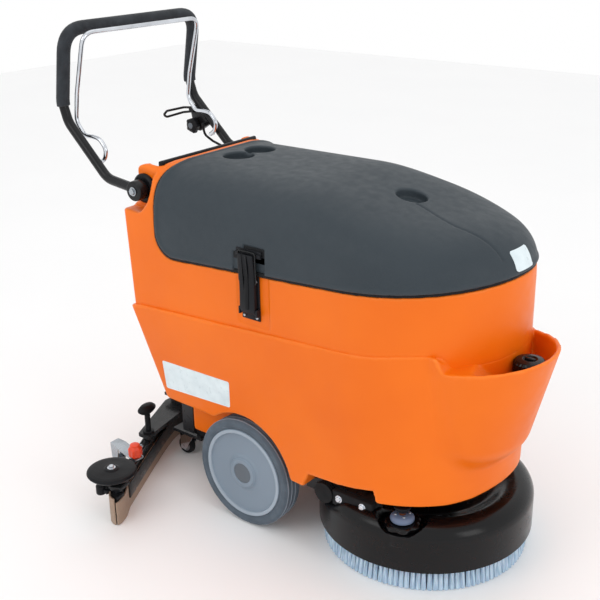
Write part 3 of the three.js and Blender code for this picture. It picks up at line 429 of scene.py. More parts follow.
def prism(outline, low, high, axis="z", bevel=1.2, segments=2):
    """An outline run along an axis. For z it is [x, y], for y it is [x, z], for x it is [y, z]."""
    place = {
        "z": lambda a, b, h: (a, b, h),
        "y": lambda a, b, h: (a, h, b),
        "x": lambda a, b, h: (h, a, b),
    }[axis]
    made = bmesh.new()
    lower = [made.verts.new(place(a, b, low)) for a, b in outline]
    upper = [made.verts.new(place(a, b, high)) for a, b in outline]
    count = len(outline)
    made.faces.new(lower)
    made.faces.new(upper)
    for i in range(count):
        j = (i + 1) % count
        made.faces.new((lower[i], lower[j], upper[j], upper[i]))
    return softened(made, bevel, segments)


def block(x0, x1, y0, y1, z0, z1, bevel=1.5, segments=3):
    return prism([(x0, y0), (x1, y0), (x1, y1), (x0, y1)], z0, z1, "z", bevel, segments)


def round_corners(points, radii, steps):
    """A line through points, in a plane or in space, with each inner corner rounded."""
    path = [points[0]]
    for i in range(1, len(points) - 1):
        corner = points[i]
        back, ahead = points[i - 1] - corner, points[i + 1] - corner
        if back.length < 1e-6 or ahead.length < 1e-6 or radii[i] <= 0:
            path.append(corner)
            continue
        bend = math.pi - back.angle(ahead)
        reach = min(radii[i] * math.tan(bend / 2), back.length * 0.48, ahead.length * 0.48)
        start, end = corner + back.normalized() * reach, corner + ahead.normalized() * reach
        for k in range(steps + 1):
            t = k / steps
            path.append(start * (1 - t) ** 2 + corner * (2 * t * (1 - t)) + end * t * t)
    path.append(points[-1])
    return path


def filleted(profile, radius, steps=4):
    """A profile of [radius, z] with rounded corners; a point may give its own corner radius."""
    radii = [p[2] if len(p) > 2 else radius for p in profile]
    return round_corners([Vector(p[:2]) for p in profile], radii, steps)


def rounded_path(points, radius, steps=10):
    return round_corners([Vector(p) for p in points], [radius] * len(points), steps)


def lathe(profile, fillet=1.0, sides=96, closed=False, wave=None):
    """A profile of [radius, z] turned about +Z. wave(angle) scales the radius, for lobes."""
    if closed:
        middle = [(profile[0][0] + profile[-1][0]) / 2, (profile[0][1] + profile[-1][1]) / 2]
        path = filleted([middle, *profile, middle], fillet)[:-1]
    else:
        path = filleted(profile, fillet)
    points, rows = [], []
    for p in path:
        if p[0] < 1e-6:
            rows.append([len(points)] * sides)
            points.append((0, 0, p[1]))
            continue
        rows.append(list(range(len(points), len(points) + sides)))
        for i in range(sides):
            angle = 2 * math.pi * i / sides
            radius = p[0] * (wave(angle, p[0], p[1]) if wave else 1)
            points.append((radius * math.cos(angle), radius * math.sin(angle), p[1]))
    faces = []
    pairs = list(zip(rows, rows[1:] + (rows[:1] if closed else [])))
    for low, high in pairs[: len(rows) if closed else len(rows) - 1]:
        for i in range(sides):
            j = (i + 1) % sides
            face = list(dict.fromkeys((low[i], low[j], high[j], high[i])))
            if len(face) > 2:
                faces.append(face)
    return Shape(points, faces)


def along(shape, axis, centre):
    """A shape drawn about +Z, turned to an axis through the centre given in the other two."""
    offset = {
        "x": (0, centre[0], centre[1]),
        "y": (centre[0], 0, centre[1]),
        "z": (centre[0], centre[1], 0),
    }[axis]
    return shape.moved(Matrix.Translation(offset) @ turn_to(axis))


def rod(axis, radius, low, high, centre, fillet=0.8, sides=32):
    """A round bar along an axis with softened ends."""
    return along(lathe([(0, low), (radius, low), (radius, high), (0, high)], fillet, sides), axis, centre)


def hexagon(axis, across, low, high, centre, dome=1.0):
    """A hexagonal bolt head."""
    def flats(angle, radius, height):
        part = (angle % (math.pi / 3)) - math.pi / 6
        return math.cos(math.pi / 6) / math.cos(part) if radius > across * 0.3 else 1

    profile = [(0, low), (across, low), (across, high - dome), (across * 0.8, high), (0, high)]
    return along(lathe(profile, 0.3, 48, wave=flats), axis, centre)


def ringed(points, sides):
    """A closed skin over equal rings of points laid one after another."""
    last = len(points) - sides
    faces = []
    for start in range(0, last, sides):
        for k in range(sides):
            a, b = start + k, start + (k + 1) % sides
            faces.append((a, b, b + sides, a + sides))
    faces.append(tuple(range(sides))[::-1])
    faces.append(tuple(range(last, last + sides)))
    return Shape(points, faces)


def tube(path, radius, sides=24):
    """A round tube along a path with closed, slightly domed ends."""
    path = [Vector(p) for p in path]
    path = [p for i, p in enumerate(path) if i == 0 or (p - path[i - 1]).length > 1e-3]
    last = len(path) - 1
    tangents = [(path[min(i + 1, last)] - path[max(i - 1, 0)]).normalized() for i in range(last + 1)]
    side = tangents[0].orthogonal().normalized()
    stations = [(path[0] - tangents[0] * radius * 0.1, tangents[0], 0.82)]
    stations += [(p, t, 1.0) for p, t in zip(path, tangents)]
    stations.append((path[-1] + tangents[-1] * radius * 0.1, tangents[-1], 0.82))
    points = []
    for centre, tangent, share in stations:
        side = (side - tangent * side.dot(tangent)).normalized()
        other = tangent.cross(side)
        for k in range(sides):
            angle = 2 * math.pi * k / sides
            spoke = side * math.cos(angle) + other * math.sin(angle)
            points.append(centre + spoke * radius * share)
    return ringed(points, sides)


def make(name, shape, paint, body, replaces=(), sharp=34):
    """Turns a shape into a piece that rides on a body and stands for the CAD nodes named."""
    mesh = bpy.data.meshes.new(name)
    mesh.from_pydata(shape.points.tolist(), [], shape.faces)
    mesh.transform(TO_ROW)
    mesh.validate()
    mesh.shade_smooth()
    mesh.set_sharp_from_angle(angle=math.radians(sharp))
    mesh.materials.append(PAINT[paint])
    piece = bpy.data.objects.new(name, mesh)
    bpy.context.scene.collection.objects.link(piece)
    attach(piece, body)
    if replaces:
        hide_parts(*replaces)
    return piece


def keep(node, paint, bevel=0.0012):
    """Keeps a CAD node: it gets a finished material and softened edges."""
    node_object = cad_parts[node]
    node_object.data.materials.clear()
    node_object.data.materials.append(PAINT[paint])
    if bevel:
        modifier = node_object.modifiers.new("soft_edges", "BEVEL")
        modifier.width = bevel
        modifier.segments = 2
        modifier.limit_method = "ANGLE"
        modifier.angle_limit = math.radians(38)
        modifier.harden_normals = False


# ---- moulded bodies: fields that are negative inside, meshed on a grid ------------------------
def field_grid(low, high, pitch):
    axes = [np.arange(a, b + pitch, pitch, dtype=np.float32) for a, b in zip(low, high)]
    return np.meshgrid(*axes, indexing="ij")


def distance(field, pitch):
    """A field rescaled to millimetres from its zero surface."""
    slopes = np.gradient(field, pitch)
    steepness = np.sqrt(sum(slope * slope for slope in slopes))
    return field / np.maximum(steepness, 1e-3)


def both(a, b, radius=0.0):
    """Inside both fields, with the edge between them rounded."""
    if radius <= 0:
        return np.maximum(a, b)
    bulge = np.hypot(np.maximum(a + radius, 0), np.maximum(b + radius, 0))
    return np.minimum(np.maximum(a, b), -radius) + bulge


def either(a, b, radius=0.0):
    return -both(-a, -b, radius)


def without(a, b, radius=0.0):
    return both(a, -b, radius)


def slab(value, low, high):
    """Negative between two limits."""
    return np.maximum(low - value, value - high)


def ease(low, high, value):
    """0 up to one limit and 1 beyond the other, with a smooth rise between."""
    t = np.clip((value - low) / (high - low), 0, 1)
    return t * t * (3 - 2 * t)


def skin(field, low, pitch):
    """The surface where the field changes sign, as a Shape of quads (surface nets)."""
    inside = field < 0
    corners = [(i, j, k) for i in (0, 1) for j in (0, 1) for k in (0, 1)]
    nx, ny, nz = field.shape
    count = np.zeros((nx - 1, ny - 1, nz - 1), np.int8)
    for i, j, k in corners:
        count += inside[i:nx - 1 + i, j:ny - 1 + j, k:nz - 1 + k]
    cells = np.argwhere((count > 0) & (count < 8))
    index = np.full(count.shape, -1, np.int64)
    index[tuple(cells.T)] = np.arange(len(cells))
    value = {c: field[tuple((cells + c).T)] for c in corners}
    total = np.zeros((len(cells), 3))
    crossings = np.zeros(len(cells))
    for a in corners:
        for axis in range(3):
            if a[axis]:
                continue
            b = tuple(a[n] + (n == axis) for n in range(3))
            crossed = (value[a] < 0) != (value[b] < 0)
            gap = np.where(crossed, value[a] - value[b], 1)
            share = np.where(crossed, value[a] / gap, 0)
            spot = np.array(a) + np.outer(share, [n == axis for n in range(3)])
            total += spot * crossed[:, None]
            crossings += crossed
    points = (cells + total / crossings[:, None]) * pitch + np.array(low)
    faces = []
    for axis in range(3):
        n = [slice(None)] * 3
        n[axis] = slice(0, -1)
        m = [slice(None)] * 3
        m[axis] = slice(1, None)
        changed = inside[tuple(n)] != inside[tuple(m)]
        for entering in (True, False):
            starts = np.argwhere(changed & (inside[tuple(n)] == entering))
            others = [o for o in range(3) if o != axis]
            starts = starts[(starts[:, others] > 0).all(1)]
            limit = np.array(count.shape)
            starts = starts[(starts[:, others] < limit[others]).all(1)]
            offsets = [(-1, -1), (0, -1), (0, 0), (-1, 0)]
            if entering == (axis == 1):
                offsets.reverse()
            quad = []
            for u, v in offsets:
                spot = starts.copy()
                spot[:, others[0]] += u
                spot[:, others[1]] += v
                quad.append(index[tuple(spot.T)])
            faces.append(np.stack(quad, 1))
    return Shape(points, np.concatenate(faces))


def side_half(x, rear, rear_half, nose_half):
    """The half width at x of sides that run straight from the rear to where the nose starts."""
    return rear_half + (nose_half - rear_half) * (x - rear) / (NOSE_START - rear)


def plan_field(x, y, rear, nose, rear_half, nose_half):
    """Distance to the body's outline seen from above: blunt round nose, straight sides."""
    side = np.abs(y) - side_half(x, rear, rear_half, nose_half)
    nose_length = nose - NOSE_START
    u, v = np.maximum(x - NOSE_START, 0) / nose_length, y / nose_half
    ring = np.sqrt(u * u + v * v)
    slope = np.sqrt((u / nose_length) ** 2 + (v / nose_half) ** 2)
    ahead = (ring - 1) * ring / np.maximum(slope, 1e-4)
    return both(np.where(x > NOSE_START, ahead, side), rear - x, 14)


def lower_plan(z):
    """The lower tank's rear, nose and half widths at a height, tapering from top to foot."""
    share = (z - TANK_FOOT["z"]) / (TANK_TOP["z"] - TANK_FOOT["z"])
    keys = ("rear", "nose", "rear_half", "nose_half")
    return {key: TANK_FOOT[key] + (TANK_TOP[key] - TANK_FOOT[key]) * share for key in keys}


def crown_height(x):
    """The top of the lid and the rear shoulders, falling to the nose."""
    return CROWN["top"] - (CROWN["top"] - CROWN["nose"]) * ease(100, 430, x)


def upper_hull(x, y, z, inset, pitch):
    """The recovery tank and its lid together: upright walls under a squared, domed crown."""
    rear = TANK["rear"] - 0.055 * (z - CROWN["foot"])
    plan = plan_field(x, y, **{**TANK, "rear": rear}) + inset
    rise = np.maximum(z - CROWN["foot"], 0) / (crown_height(x) - inset - CROWN["foot"])
    girth = np.maximum(1 + plan / TANK["nose_half"], 0)
    # a higher power makes a squarer shoulder between the wall and the crown
    nose_power, side_power, rear_power = 3.4, 4.0, 7.0
    power = side_power + (nose_power - side_power) * ease(300, 500, x)
    power = power + (rear_power - side_power) * ease(-200, -320, x)
    return distance(girth ** power + rise ** power - 1, pitch)


def lid_region(x, z, gap):
    """Negative above the lid's lower edge and ahead of its rear edge, with a round corner."""
    t = np.clip((x - LID["rear"] - LID["corner"]) / (TANK["nose"] - LID["rear"] - LID["corner"]), 0, 1)
    steady, at_nose = 0.8 * t, 0.2 * t ** 8
    edge = LID["edge"] + LID["rise"] * (steady + at_nose)
    return both(edge + gap - z, LID["rear"] + gap - x, LID["corner"])


def seam_height(x):
    """The line where the recovery tank sits on the solution tank, rising to the front."""
    height = 476 + 0.07 * x + 6 * ease(320, 410, x) - 7 * ease(-290, -345, x)
    return height - 28 * ease(452, 474, x) + 0.085 * np.maximum(x - 480, 0)


# The lower tank's underside from rear to front, as [x, z]: a foot ahead of the wheel, a space
# for the deck's arm, then the column over the deck.
UNDERSIDE = [(-400, 229), (-60, 236), (120, 163), (176, 163), (192, 197), (351, 213), (353, 187),
             (470, 187), (500, 191), (530, 202), (640, 202)]


def pocket_field(x, y, z, inset, pitch):
    """The filler pocket in the nose: an oval that widens to its lip, less an inset."""
    share = (z - POCKET["foot"]) / (POCKET["lip"] - POCKET["foot"])
    reach = 82 + 66 * share - inset
    half = 108 + 38 * share - inset
    ring = np.sqrt(((x - POCKET["x"]) / reach) ** 2 + ((y - POCKET["y"]) / half) ** 2)
    return distance(ring - 1, pitch)


def solution_tank_shape(pitch=4.0):
    """The lower tank, with its arches, the well for the brush motor and the filler pocket."""
    well_radius, well_top, filler_radius = 92, 312, 11.4
    low, high = (-352, -256, 118), (632, 256, 516)
    x, y, z = field_grid(low, high, pitch)
    hull = plan_field(x, y, **lower_plan(z))
    underside = np.interp(x[:, 0, 0], *zip(*UNDERSIDE)).astype(np.float32)
    hull = both(hull, distance(underside[:, None, None] - z, pitch), 6)
    battery_bay = both(both(slab(x, -222, 78), np.abs(y) - 150, 8), 131 - z, 8)
    tank = either(hull, np.maximum(battery_bay, z - 300), 10)
    motor_well = both(np.hypot(x - DECK["x"], y) - well_radius, z - well_top, 6)
    arm_space = both(both(slab(x, 78.5, 190), np.abs(y) - 146, 6), z - 222, 6)
    tank = without(without(tank, motor_well, 3), arm_space, 3)
    arch = np.hypot(x - ARCH["x"], z - ARCH["z"]) - ARCH["radius"]
    tank = without(tank, both(arch, ARCH["inner"] - np.abs(y), 8), 5)
    axle_groove = both(slab(x, -15, 15), z - 142, 2)
    tank = without(tank, axle_groove, 2)
    bulge = both(both(pocket_field(x, y, z, 0, pitch), 262 - z, 60), 440 - x, 20)
    tank = both(either(tank, bulge, 16), z - seam_height(x), 3)
    ramp = POCKET["floor"] + 62 * (1 - ease(494, 578, x + 0.4 * (y + 150)))
    hollow = both(pocket_field(x, y, z, POCKET["wall"], pitch), ramp - z, 12)
    nose_wall = plan_field(x, y, **TANK) + 3
    tank = without(tank, both(hollow, -nose_wall, 4), 4)
    filler = both(np.hypot(x - CAP["x"], y - CAP["y"]) - filler_radius, 420 - z, 1)
    return skin(without(tank, filler, 1.5), low, pitch)


def recovery_tank_shape(pitch=3.5):
    """The upper tank: open under the lid, with a panel recess and hollows at the handle's pivots."""
    set_in, wall, seam_overlap, floor, bulkhead = 3, 8, 8, 476, -237
    panel_bed, pivot_reach, hollow_face = 741.7, 40, 177
    low, high = (-360, -240, 442), (556, 240, 796)
    x, y, z = field_grid(low, high, pitch)
    tank = without(upper_hull(x, y, z, set_in, pitch), lid_region(x, z, -5.2), 2.5)
    tank = both(tank, seam_height(x) - seam_overlap - z, 1)
    cavity = both(upper_hull(x, y, z, set_in + wall, pitch), floor - z, 16)
    tank = without(tank, both(cavity, bulkhead - x, 14), 2.5)
    panel_recess = both(both(slab(x, -336, -261), np.abs(y) - 160, 10), panel_bed - z, 1)
    tank = without(tank, panel_recess, 3)
    # beside each handle eye: a round hollow that opens upwards and, lower down, to the rear
    hollow = np.hypot(x - HANDLE["x"], z - HANDLE["z"]) - pivot_reach
    hollow = either(hollow, both(x + 259, 722 - z, 6), 14)
    hollow = either(hollow, both(x + 280, 674 - z, 12), 14)
    tank = without(tank, both(hollow, hollow_face - np.abs(y), 5), 5)
    rear_ledge = both(x + 322, 677 + 0.5 * (x + 342) - z, 4)
    tank = without(tank, rear_ledge, 9)
    latch_seat = both(slab(x, LATCH["x"] - 37, LATCH["x"] + 49), slab(z, 490, 760), 6)
    return skin(without(tank, both(latch_seat, y - LATCH["face"], 2), 1.5), low, pitch)


def lid_shape(pitch=2.6):
    """The lid: a beaded edge, three cups in its top, a moulded line and a notch for the latch."""
    low, high = (-246, -236, 576), (550, 236, 788)
    x, y, z = field_grid(low, high, pitch)
    hull = upper_hull(x, y, z, 0, pitch)
    lid = both(hull, lid_region(x, z, 2.4), 2.2)
    lid = without(lid, upper_hull(x, y, z, LID["wall"], pitch), 1)
    bead = both(np.abs(lid_region(x, z, 6)) - 5, np.abs(hull + 3) - 4.6, 3)
    lid = either(lid, bead, 2)
    crown = crown_height(x)
    cup_depth, cup_wall, cup_floor, groove_radius = 19, 5, 7, 2.8
    for centre_x, centre_y, radius in LID_CUPS:
        disc = np.hypot(x - centre_x, y - centre_y)
        cup = both(disc - radius, crown - cup_depth - z, 4)
        under_cup = slab(z, crown - cup_depth - cup_floor, crown - 4)
        shell = both(disc - radius - cup_wall, under_cup, 5)
        lid = without(either(lid, shell, 1.5), cup, 3.5)
    groove = np.hypot(y + 20 + 36 * ease(285, 430, x), hull) - groove_radius
    lid = without(lid, np.maximum(groove, np.maximum(304 - x, 682 - z)), 0.8)
    notch = both(slab(x, LATCH["x"] - 44, LATCH["x"] + 42), y - LATCH["face"] + 1, 1)
    upper = both(np.maximum(notch, LATCH["x"] - 14 - x), z - 662, 2)
    step = either(both(notch, z - 644, 1), upper)
    return skin(without(lid, step, 1.5), low, pitch)


def lid_seal_shape(pitch=2.2):
    """The black seal between the lid and the recovery tank, set out to fill the gap under the lid's edge:
    a real seal that also stands as painted shade for the shadow line there.
    """
    low, high = (-246, -232, 576), (546, 232, 784)
    x, y, z = field_grid(low, high, pitch)
    edge = lid_region(x, z, 0)
    # the band fills the gap below the lid's edge from outside: the real seal, and painted shade for the
    # shadow line in that gap
    band = slab(edge, -5.0, 4.4)
    wall = slab(upper_hull(x, y, z, 0, pitch), -8.5, -2.0)
    return skin(both(band, wall, 0.8), low, pitch)


def add_bodies():
    make("solution_tank_shell", solution_tank_shape(), "orange", "chassis", ["solution_tank"], 80)
    make("recovery_tank_shell", recovery_tank_shape(), "orange", "chassis", ["recovery_tank"], 80)
    lid = lid_shape()
    make("lid_shell", lid, "slate", "lid", ["lid"], 80)
    make("lid_seal", lid_seal_shape(), "black_rubber", "lid", ["lid_gasket"], 80)
    return lid


# ---- wheels -----------------------------------------------------------------------------------
def add_main_wheel(name, side):
    """A ribbed tyre with painted highlights on its ribs, on a dished disc, with a bright ring, a collar
    and a hub cap.
    """
    middle, radius, disc = WHEEL["middle"], WHEEL["radius"], WHEEL["disc"]
    inner, outer = middle - WHEEL["half"], middle + WHEEL["half"]
    centre = Matrix.Translation((0, 0, radius)) @ turn_to("y")

    def part(piece, profile, fillet, sides, paint, replaces=(), closed=True):
        turned = lathe(profile, fillet, sides, closed).moved(centre)
        make(piece, on_side(turned, side), paint, f"wheel_{name}", replaces)

    crest, groove = radius - 0.6, radius - 4
    tread = [(disc, inner + 3), (radius - 6, inner, 4), (radius - 1, inner + 5, 3)]
    for at in (middle - 10, middle + 2, middle + 14):
        tread += [(crest, at - 4.4, 1), (groove, at - 2.6, 1), (groove, at + 0.6, 1),
                  (crest, at + 2.4, 1)]
    tread += [(radius - 1, outer - 5, 3), (radius - 6, outer, 4), (disc + 8, outer - 0.6, 2),
              (disc + 4, outer - 2.5, 1.5), (disc, outer - 3)]
    part(f"tyre_{name}_tread", tread, 1.2, 144, "tyre", [f"tyre_{name}"])
    # three thin bands over the tread's ribs in the lighter rubber: a painted highlight where the light
    # catches the ribs
    for number, at in enumerate((middle - 12.4, middle - 0.4, middle + 11.6)):
        ridge = [(radius - 5, at + 3.4), (radius - 0.2, at + 3.8), (radius - 0.2, at + 7.6),
                 (radius - 5, at + 8)]
        part(f"tyre_{name}_ridge_{number}", ridge, 0.8, 144, "tyre_ridge_highlight")
    web = [(10.3, inner + 2), (30, inner + 2), (34, inner + 12), (86, inner + 14), (92, inner + 4),
           (disc - 0.3, inner + 4), (disc - 0.3, outer - 1.6, 1.5), (disc - 3, outer - 0.8, 1.5),
           (disc - 8, outer - 1.6, 2), (disc - 11, outer - 7, 3), (44, outer - 8.4, 6),
           (37, outer - 6, 4), (34.5, outer - 1.5, 3), (25, outer - 0.8, 1.5), (10.3, outer - 0.8)]
    part(f"wheel_{name}_disc", web, 2, 128, "grey_plastic", [f"wheel_disc_{name}"])
    ring = [(disc - 9.5, outer - 5), (disc - 8.5, outer - 0.6), (disc - 1.2, outer - 0.2),
            (disc - 0.8, outer - 5)]
    part(f"wheel_{name}_outer_ring", ring, 1.2, 128, "pale_grey")
    collar = [(24, outer - 6), (24, outer + 0.4), (33, outer + 0.2, 2), (35, outer - 6)]
    part(f"wheel_{name}_collar", collar, 1.2, 96, "grey_plastic")
    cap = [(0, outer - 7), (24.6, outer - 7), (24.6, outer - 1.2, 1), (22, outer - 0.2, 1),
           (0, outer + 0.6)]
    part(f"wheel_{name}_hub_cap", cap, 1, 64, "hub_grey", closed=False)


def small_wheel(radius, width, centre):
    """A small wheel on a cross axle, as its tread and its dished hub."""
    half = width / 2
    face = [(0, half - 1), (radius * 0.36, half - 1), (radius * 0.4, half - 3),
            (radius * 0.62, half - 3), (radius * 0.68, half - 1)]
    far_face = [(reach, -z) for reach, z in face]
    rim = [far_face[-1], (radius - 3, -half, 2), (radius, 4 - half, 3), (radius, half - 4, 3),
           (radius - 3, half, 2), face[-1]]
    turn = Matrix.Translation(centre) @ turn_to("y")
    hub = lathe(far_face + face[::-1], 0.6, 56)
    return lathe(rim, 1, 72, closed=True).moved(turn), hub.moved(turn)


def add_small_wheels(name, side):
    """A castor's wheel, and the small wheel that trails the squeegee on the same side."""
    for kind, radius, width, x, y, tyre_paint, hub_paint in (
        ("castor", 23, 18, -324, 75, "black_rubber", "steel"),
        ("squeegee", 22, 16, -395, 240, "grey_plastic", "hub_grey"),
    ):
        tread, hub = small_wheel(radius, width, (x, side * y, radius))
        body = f"{kind}_wheel_{name}"
        make(f"{kind}_tyre_{name}", tread, tyre_paint, body, [body])
        make(f"{kind}_hub_{name}", hub, hub_paint, body)


# ---- handle -----------------------------------------------------------------------------------
LEG = [(-311, 722), (-391, 731), (-508, 843), (-522, 885), (-493, 1048)]
BAIL_LEG = [(-435, 757), (-419, 768), (-414, 790), (-433, 811), (-457, 813), (-483, 812), (-508, 842),
            (-497, 905), (-458, 1040)]


def hoop(leg, half_span, radius):
    """A loop up one leg, across, and down the other, from the [x, z] points of one leg."""
    right = [(x, -half_span, z) for x, z in leg]
    left = [(x, half_span, z) for x, z in reversed(leg)]
    return rounded_path(right + left, radius)


def add_handle():
    """The folding loop with its eyes and lever bracket, its foam grip, and the bail."""
    path = hoop(LEG, HANDLE["half_span"], 52)
    pivot = (HANDLE["x"], HANDLE["z"])
    eye_profile = [(6.3, -13.5), (22, -13.5, 3), (23, 0), (22, 13.5, 3), (6.3, 13.5)]
    eye = along(lathe(eye_profile, 2, 64, closed=True), "y", pivot)
    eyes = [eye.at(y=side * HANDLE["half_span"]) for side in (1, -1)]
    bracket = prism([(-441, 785), (-479, 824), (-517, 820), (-517, 802), (-507, 756), (-487, 756)],
                    196, 208, "y", 1.6)
    tubes = joined(tube(path, HANDLE["tube"], 32), *eyes, bracket)
    make("handle_bow", tubes, "black_paint", "handle", ["handle_tube"])
    grip_path = [p for p in path if p.z >= HANDLE["foam_start"]]
    foam = make("handle_foam", tube(grip_path, HANDLE["foam"], 48), "foam", "handle", ["foam_grip"])
    bail_end = rod("y", 5, 178, 190.7, BAIL_LEG[0], 0.8, 24)
    bail = joined(tube(hoop(BAIL_LEG, 180, 30), 5, 24), bail_end, bail_end.mirrored())
    make("bail_wire", bail, "chrome", "bail", ["bail"])


def add_handle_pivot(name, side):
    """The moulded seat beside one handle eye and the bolt through both."""
    pivot = (HANDLE["x"], HANDLE["z"])
    profile = [(6.3, 177.4), (33, 177.4, 2), (33, 184, 3), (28, 187.6, 2), (6.3, 187.6)]
    seat = along(lathe(profile, 2, 96, closed=True), "y", pivot)
    make(f"handle_seat_{name}_disc", on_side(seat, side), "black_plastic", "chassis",
         [f"handle_seat_{name}"])
    bolt = joined(rod("y", 6, 150, 218, pivot), rod("y", 10, 215.8, 217.6, pivot, 0.5, 48),
                  hexagon("y", 7.5, 217.4, 222.6, pivot), hexagon("y", 10, 158, 167.4, pivot))
    make(f"handle_bolt_{name}_set", on_side(bolt, side), "steel", "chassis",
         [f"handle_bolt_{name}"])


def add_lift_controls():
    """The lift lever, the star knob under it, and the cable clamped along the left leg."""
    x, y, z = -506, 196, 810
    loop = [(x, y - 6, z + 5), (x - 26, y - 9, z + 3), (x - 50, y - 46, z - 3),
            (x - 54, y - 54, z - 12), (x - 50, y - 48, z - 18), (x - 26, y - 12, z - 9),
            (x, y - 6, z - 5)]
    lever = joined(tube(rounded_path(loop, 8, 6), 3, 20), rod("y", 8, y - 10, y - 0.3, (x, z)))
    make("lift_lever_loop", lever, "black_paint", "lift_lever", ["lift_lever"])

    def lobes(angle, radius, height):
        return 1 + 0.16 * max(0.0, math.cos(5 * angle)) if radius > 9 else 1

    knob_place = (-497, 772)
    star = [(0, -24), (10, -24, 3), (17.5, -20, 3), (18, -9, 3), (12, -6, 2), (5, -6), (5, -0.3),
            (0, -0.3)]
    make("star_knob_grip", along(lathe(star, 2, 96, wave=lobes), "y", knob_place).at(y=y),
         "black_plastic", "star_knob", ["star_knob"])
    insert = lathe([(0, -25), (7.5, -25, 1.5), (8, -21), (0, -21)], 1, 40)
    make("star_knob_insert", along(insert, "y", knob_place).at(y=y), "hub_grey", "star_knob")
    route = [(-464, 184, 776), (-460, 184, 752), (-432, 184, 739), (-392, 184, 728),
             (-345, 184, 725)]
    clamps = [rod("y", 5, 182, 195.7, (-464, 776)), rod("y", 5, 182, 190.7, (-345, 725))]
    cable = joined(tube(rounded_path(route, 20), 3, 20), *clamps)
    make("lift_cable_sheath", cable, "black_rubber", "handle", ["lift_cable"])


# ---- squeegee ---------------------------------------------------------------------------------
def squeegee_line(y):
    """The x of the squeegee's rear edge, a shallow V with a rounded point."""
    return -437 + math.sqrt(35 ** 2 + (0.55 * y) ** 2) - 35


def squeegee_edge(offset, half_width, steps=48):
    """Points along the squeegee's shallow V, set forward of its rear blade by the offset."""
    edge = []
    for i in range(steps + 1):
        y = half_width * (2 * i / steps - 1)
        lean = (squeegee_line(y + 1) - squeegee_line(y - 1)) / 2
        length = math.hypot(1, lean)
        edge.append((squeegee_line(y) + offset / length, y - offset * lean / length))
    return edge


def strip(back, front, half_width, low, high, bevel=1.0):
    outline = squeegee_edge(back, half_width) + squeegee_edge(front, half_width)[::-1]
    return prism(outline, low, high, "z", bevel)


def blade(offset, half_width, ends, top, thickness=3.6):
    """A rubber blade along the V whose ends bend in towards the other blade."""
    line = [(x, -y) for x, y in reversed(ends)] + squeegee_edge(offset, half_width) + ends
    line = [Vector(p) for p in line]
    one_face, other_face = [], []
    for i, p in enumerate(line):
        run = (line[min(i + 1, len(line) - 1)] - line[max(i - 1, 0)]).normalized()
        across = Vector((-run.y, run.x)) * thickness / 2
        one_face.append(tuple(p + across))
        other_face.append(tuple(p - across))
    return prism(one_face + other_face[::-1], 0.6, top, "z", 0.5, 1)


def add_squeegee():
    """The channel with its rails and posts, its studs and end clamps, and the two blades."""
    half = 388
    parts = [
        strip(3, 22, half, 42, 75, 2),
        strip(0.3, 6, half, 50, 76, 1.2),
        strip(19, 24.5, half - 6, 50, 76, 1.2),
        strip(28.2, 32, half - 34, 27, 62, 1),
        lathe([(20, 76), (24, 76), (24, 104, 1.5), (20, 104, 1.5)], 1, 64, closed=True).at(-405),
    ]
    clamps = []
    post_place = (BUMPER["x"], BUMPER["y"])
    for _, side in SIDES:
        wedge = prism([(-250, 376), (-228, 372), (-223, 399), (-246, 395)], 16, 66, "z", 2)
        post = rod("z", 12, 74, BUMPER["bottom"] - 0.6, post_place, 1.5, 40)
        tab = prism([(-270, 362), (-232, 350), (-226, 384), (-244, 394), (-268, 392)], 73.5, 84,
                    "z", 2)
        boss = rod("z", 12, 70.6, 84, (-350, 178), 1, 40)
        parts.append(on_side(joined(wedge, post, tab, boss), side))
        clamp = joined(block(-268, -236, 366, 388, 56, 79, 3), block(-278, -254, 384, 400, 62, 72, 3),
                       rod("z", 7, 79, 92, (-246, 360), 2, 32), rod("z", 11, 58, 80, (-276, 398), 3, 40))
        clamps.append(on_side(clamp, side))
    make("squeegee_channel", joined(*parts), "black_paint", "squeegee", ["squeegee_body"])
    studs = []
    for y in (-330, -290, -220, -130, -60, 60, 130, 220, 290, 330):
        place = (squeegee_line(y) + 13, y)
        studs += [hexagon("z", 5.5, 75.5, 80, place), rod("z", 2.6, 75, 83, place, 0.4, 20)]
    make("squeegee_studs", joined(*studs), "steel", "squeegee")
    make("squeegee_end_clamps", joined(*clamps), "black_plastic", "squeegee")
    rear_ends = [(-252, 393), (-243, 402), (-232, 407), (-222, 408)]
    front_ends = [(-231, 368), (-224, 382), (-219, 396), (-218, 406)]
    make("rear_blade_rubber", blade(-1.8, 382, rear_ends, 68), "blade", "squeegee", ["rear_blade"])
    make("front_blade_rubber", blade(26, 352, front_ends, 58), "blade", "squeegee", ["front_blade"])


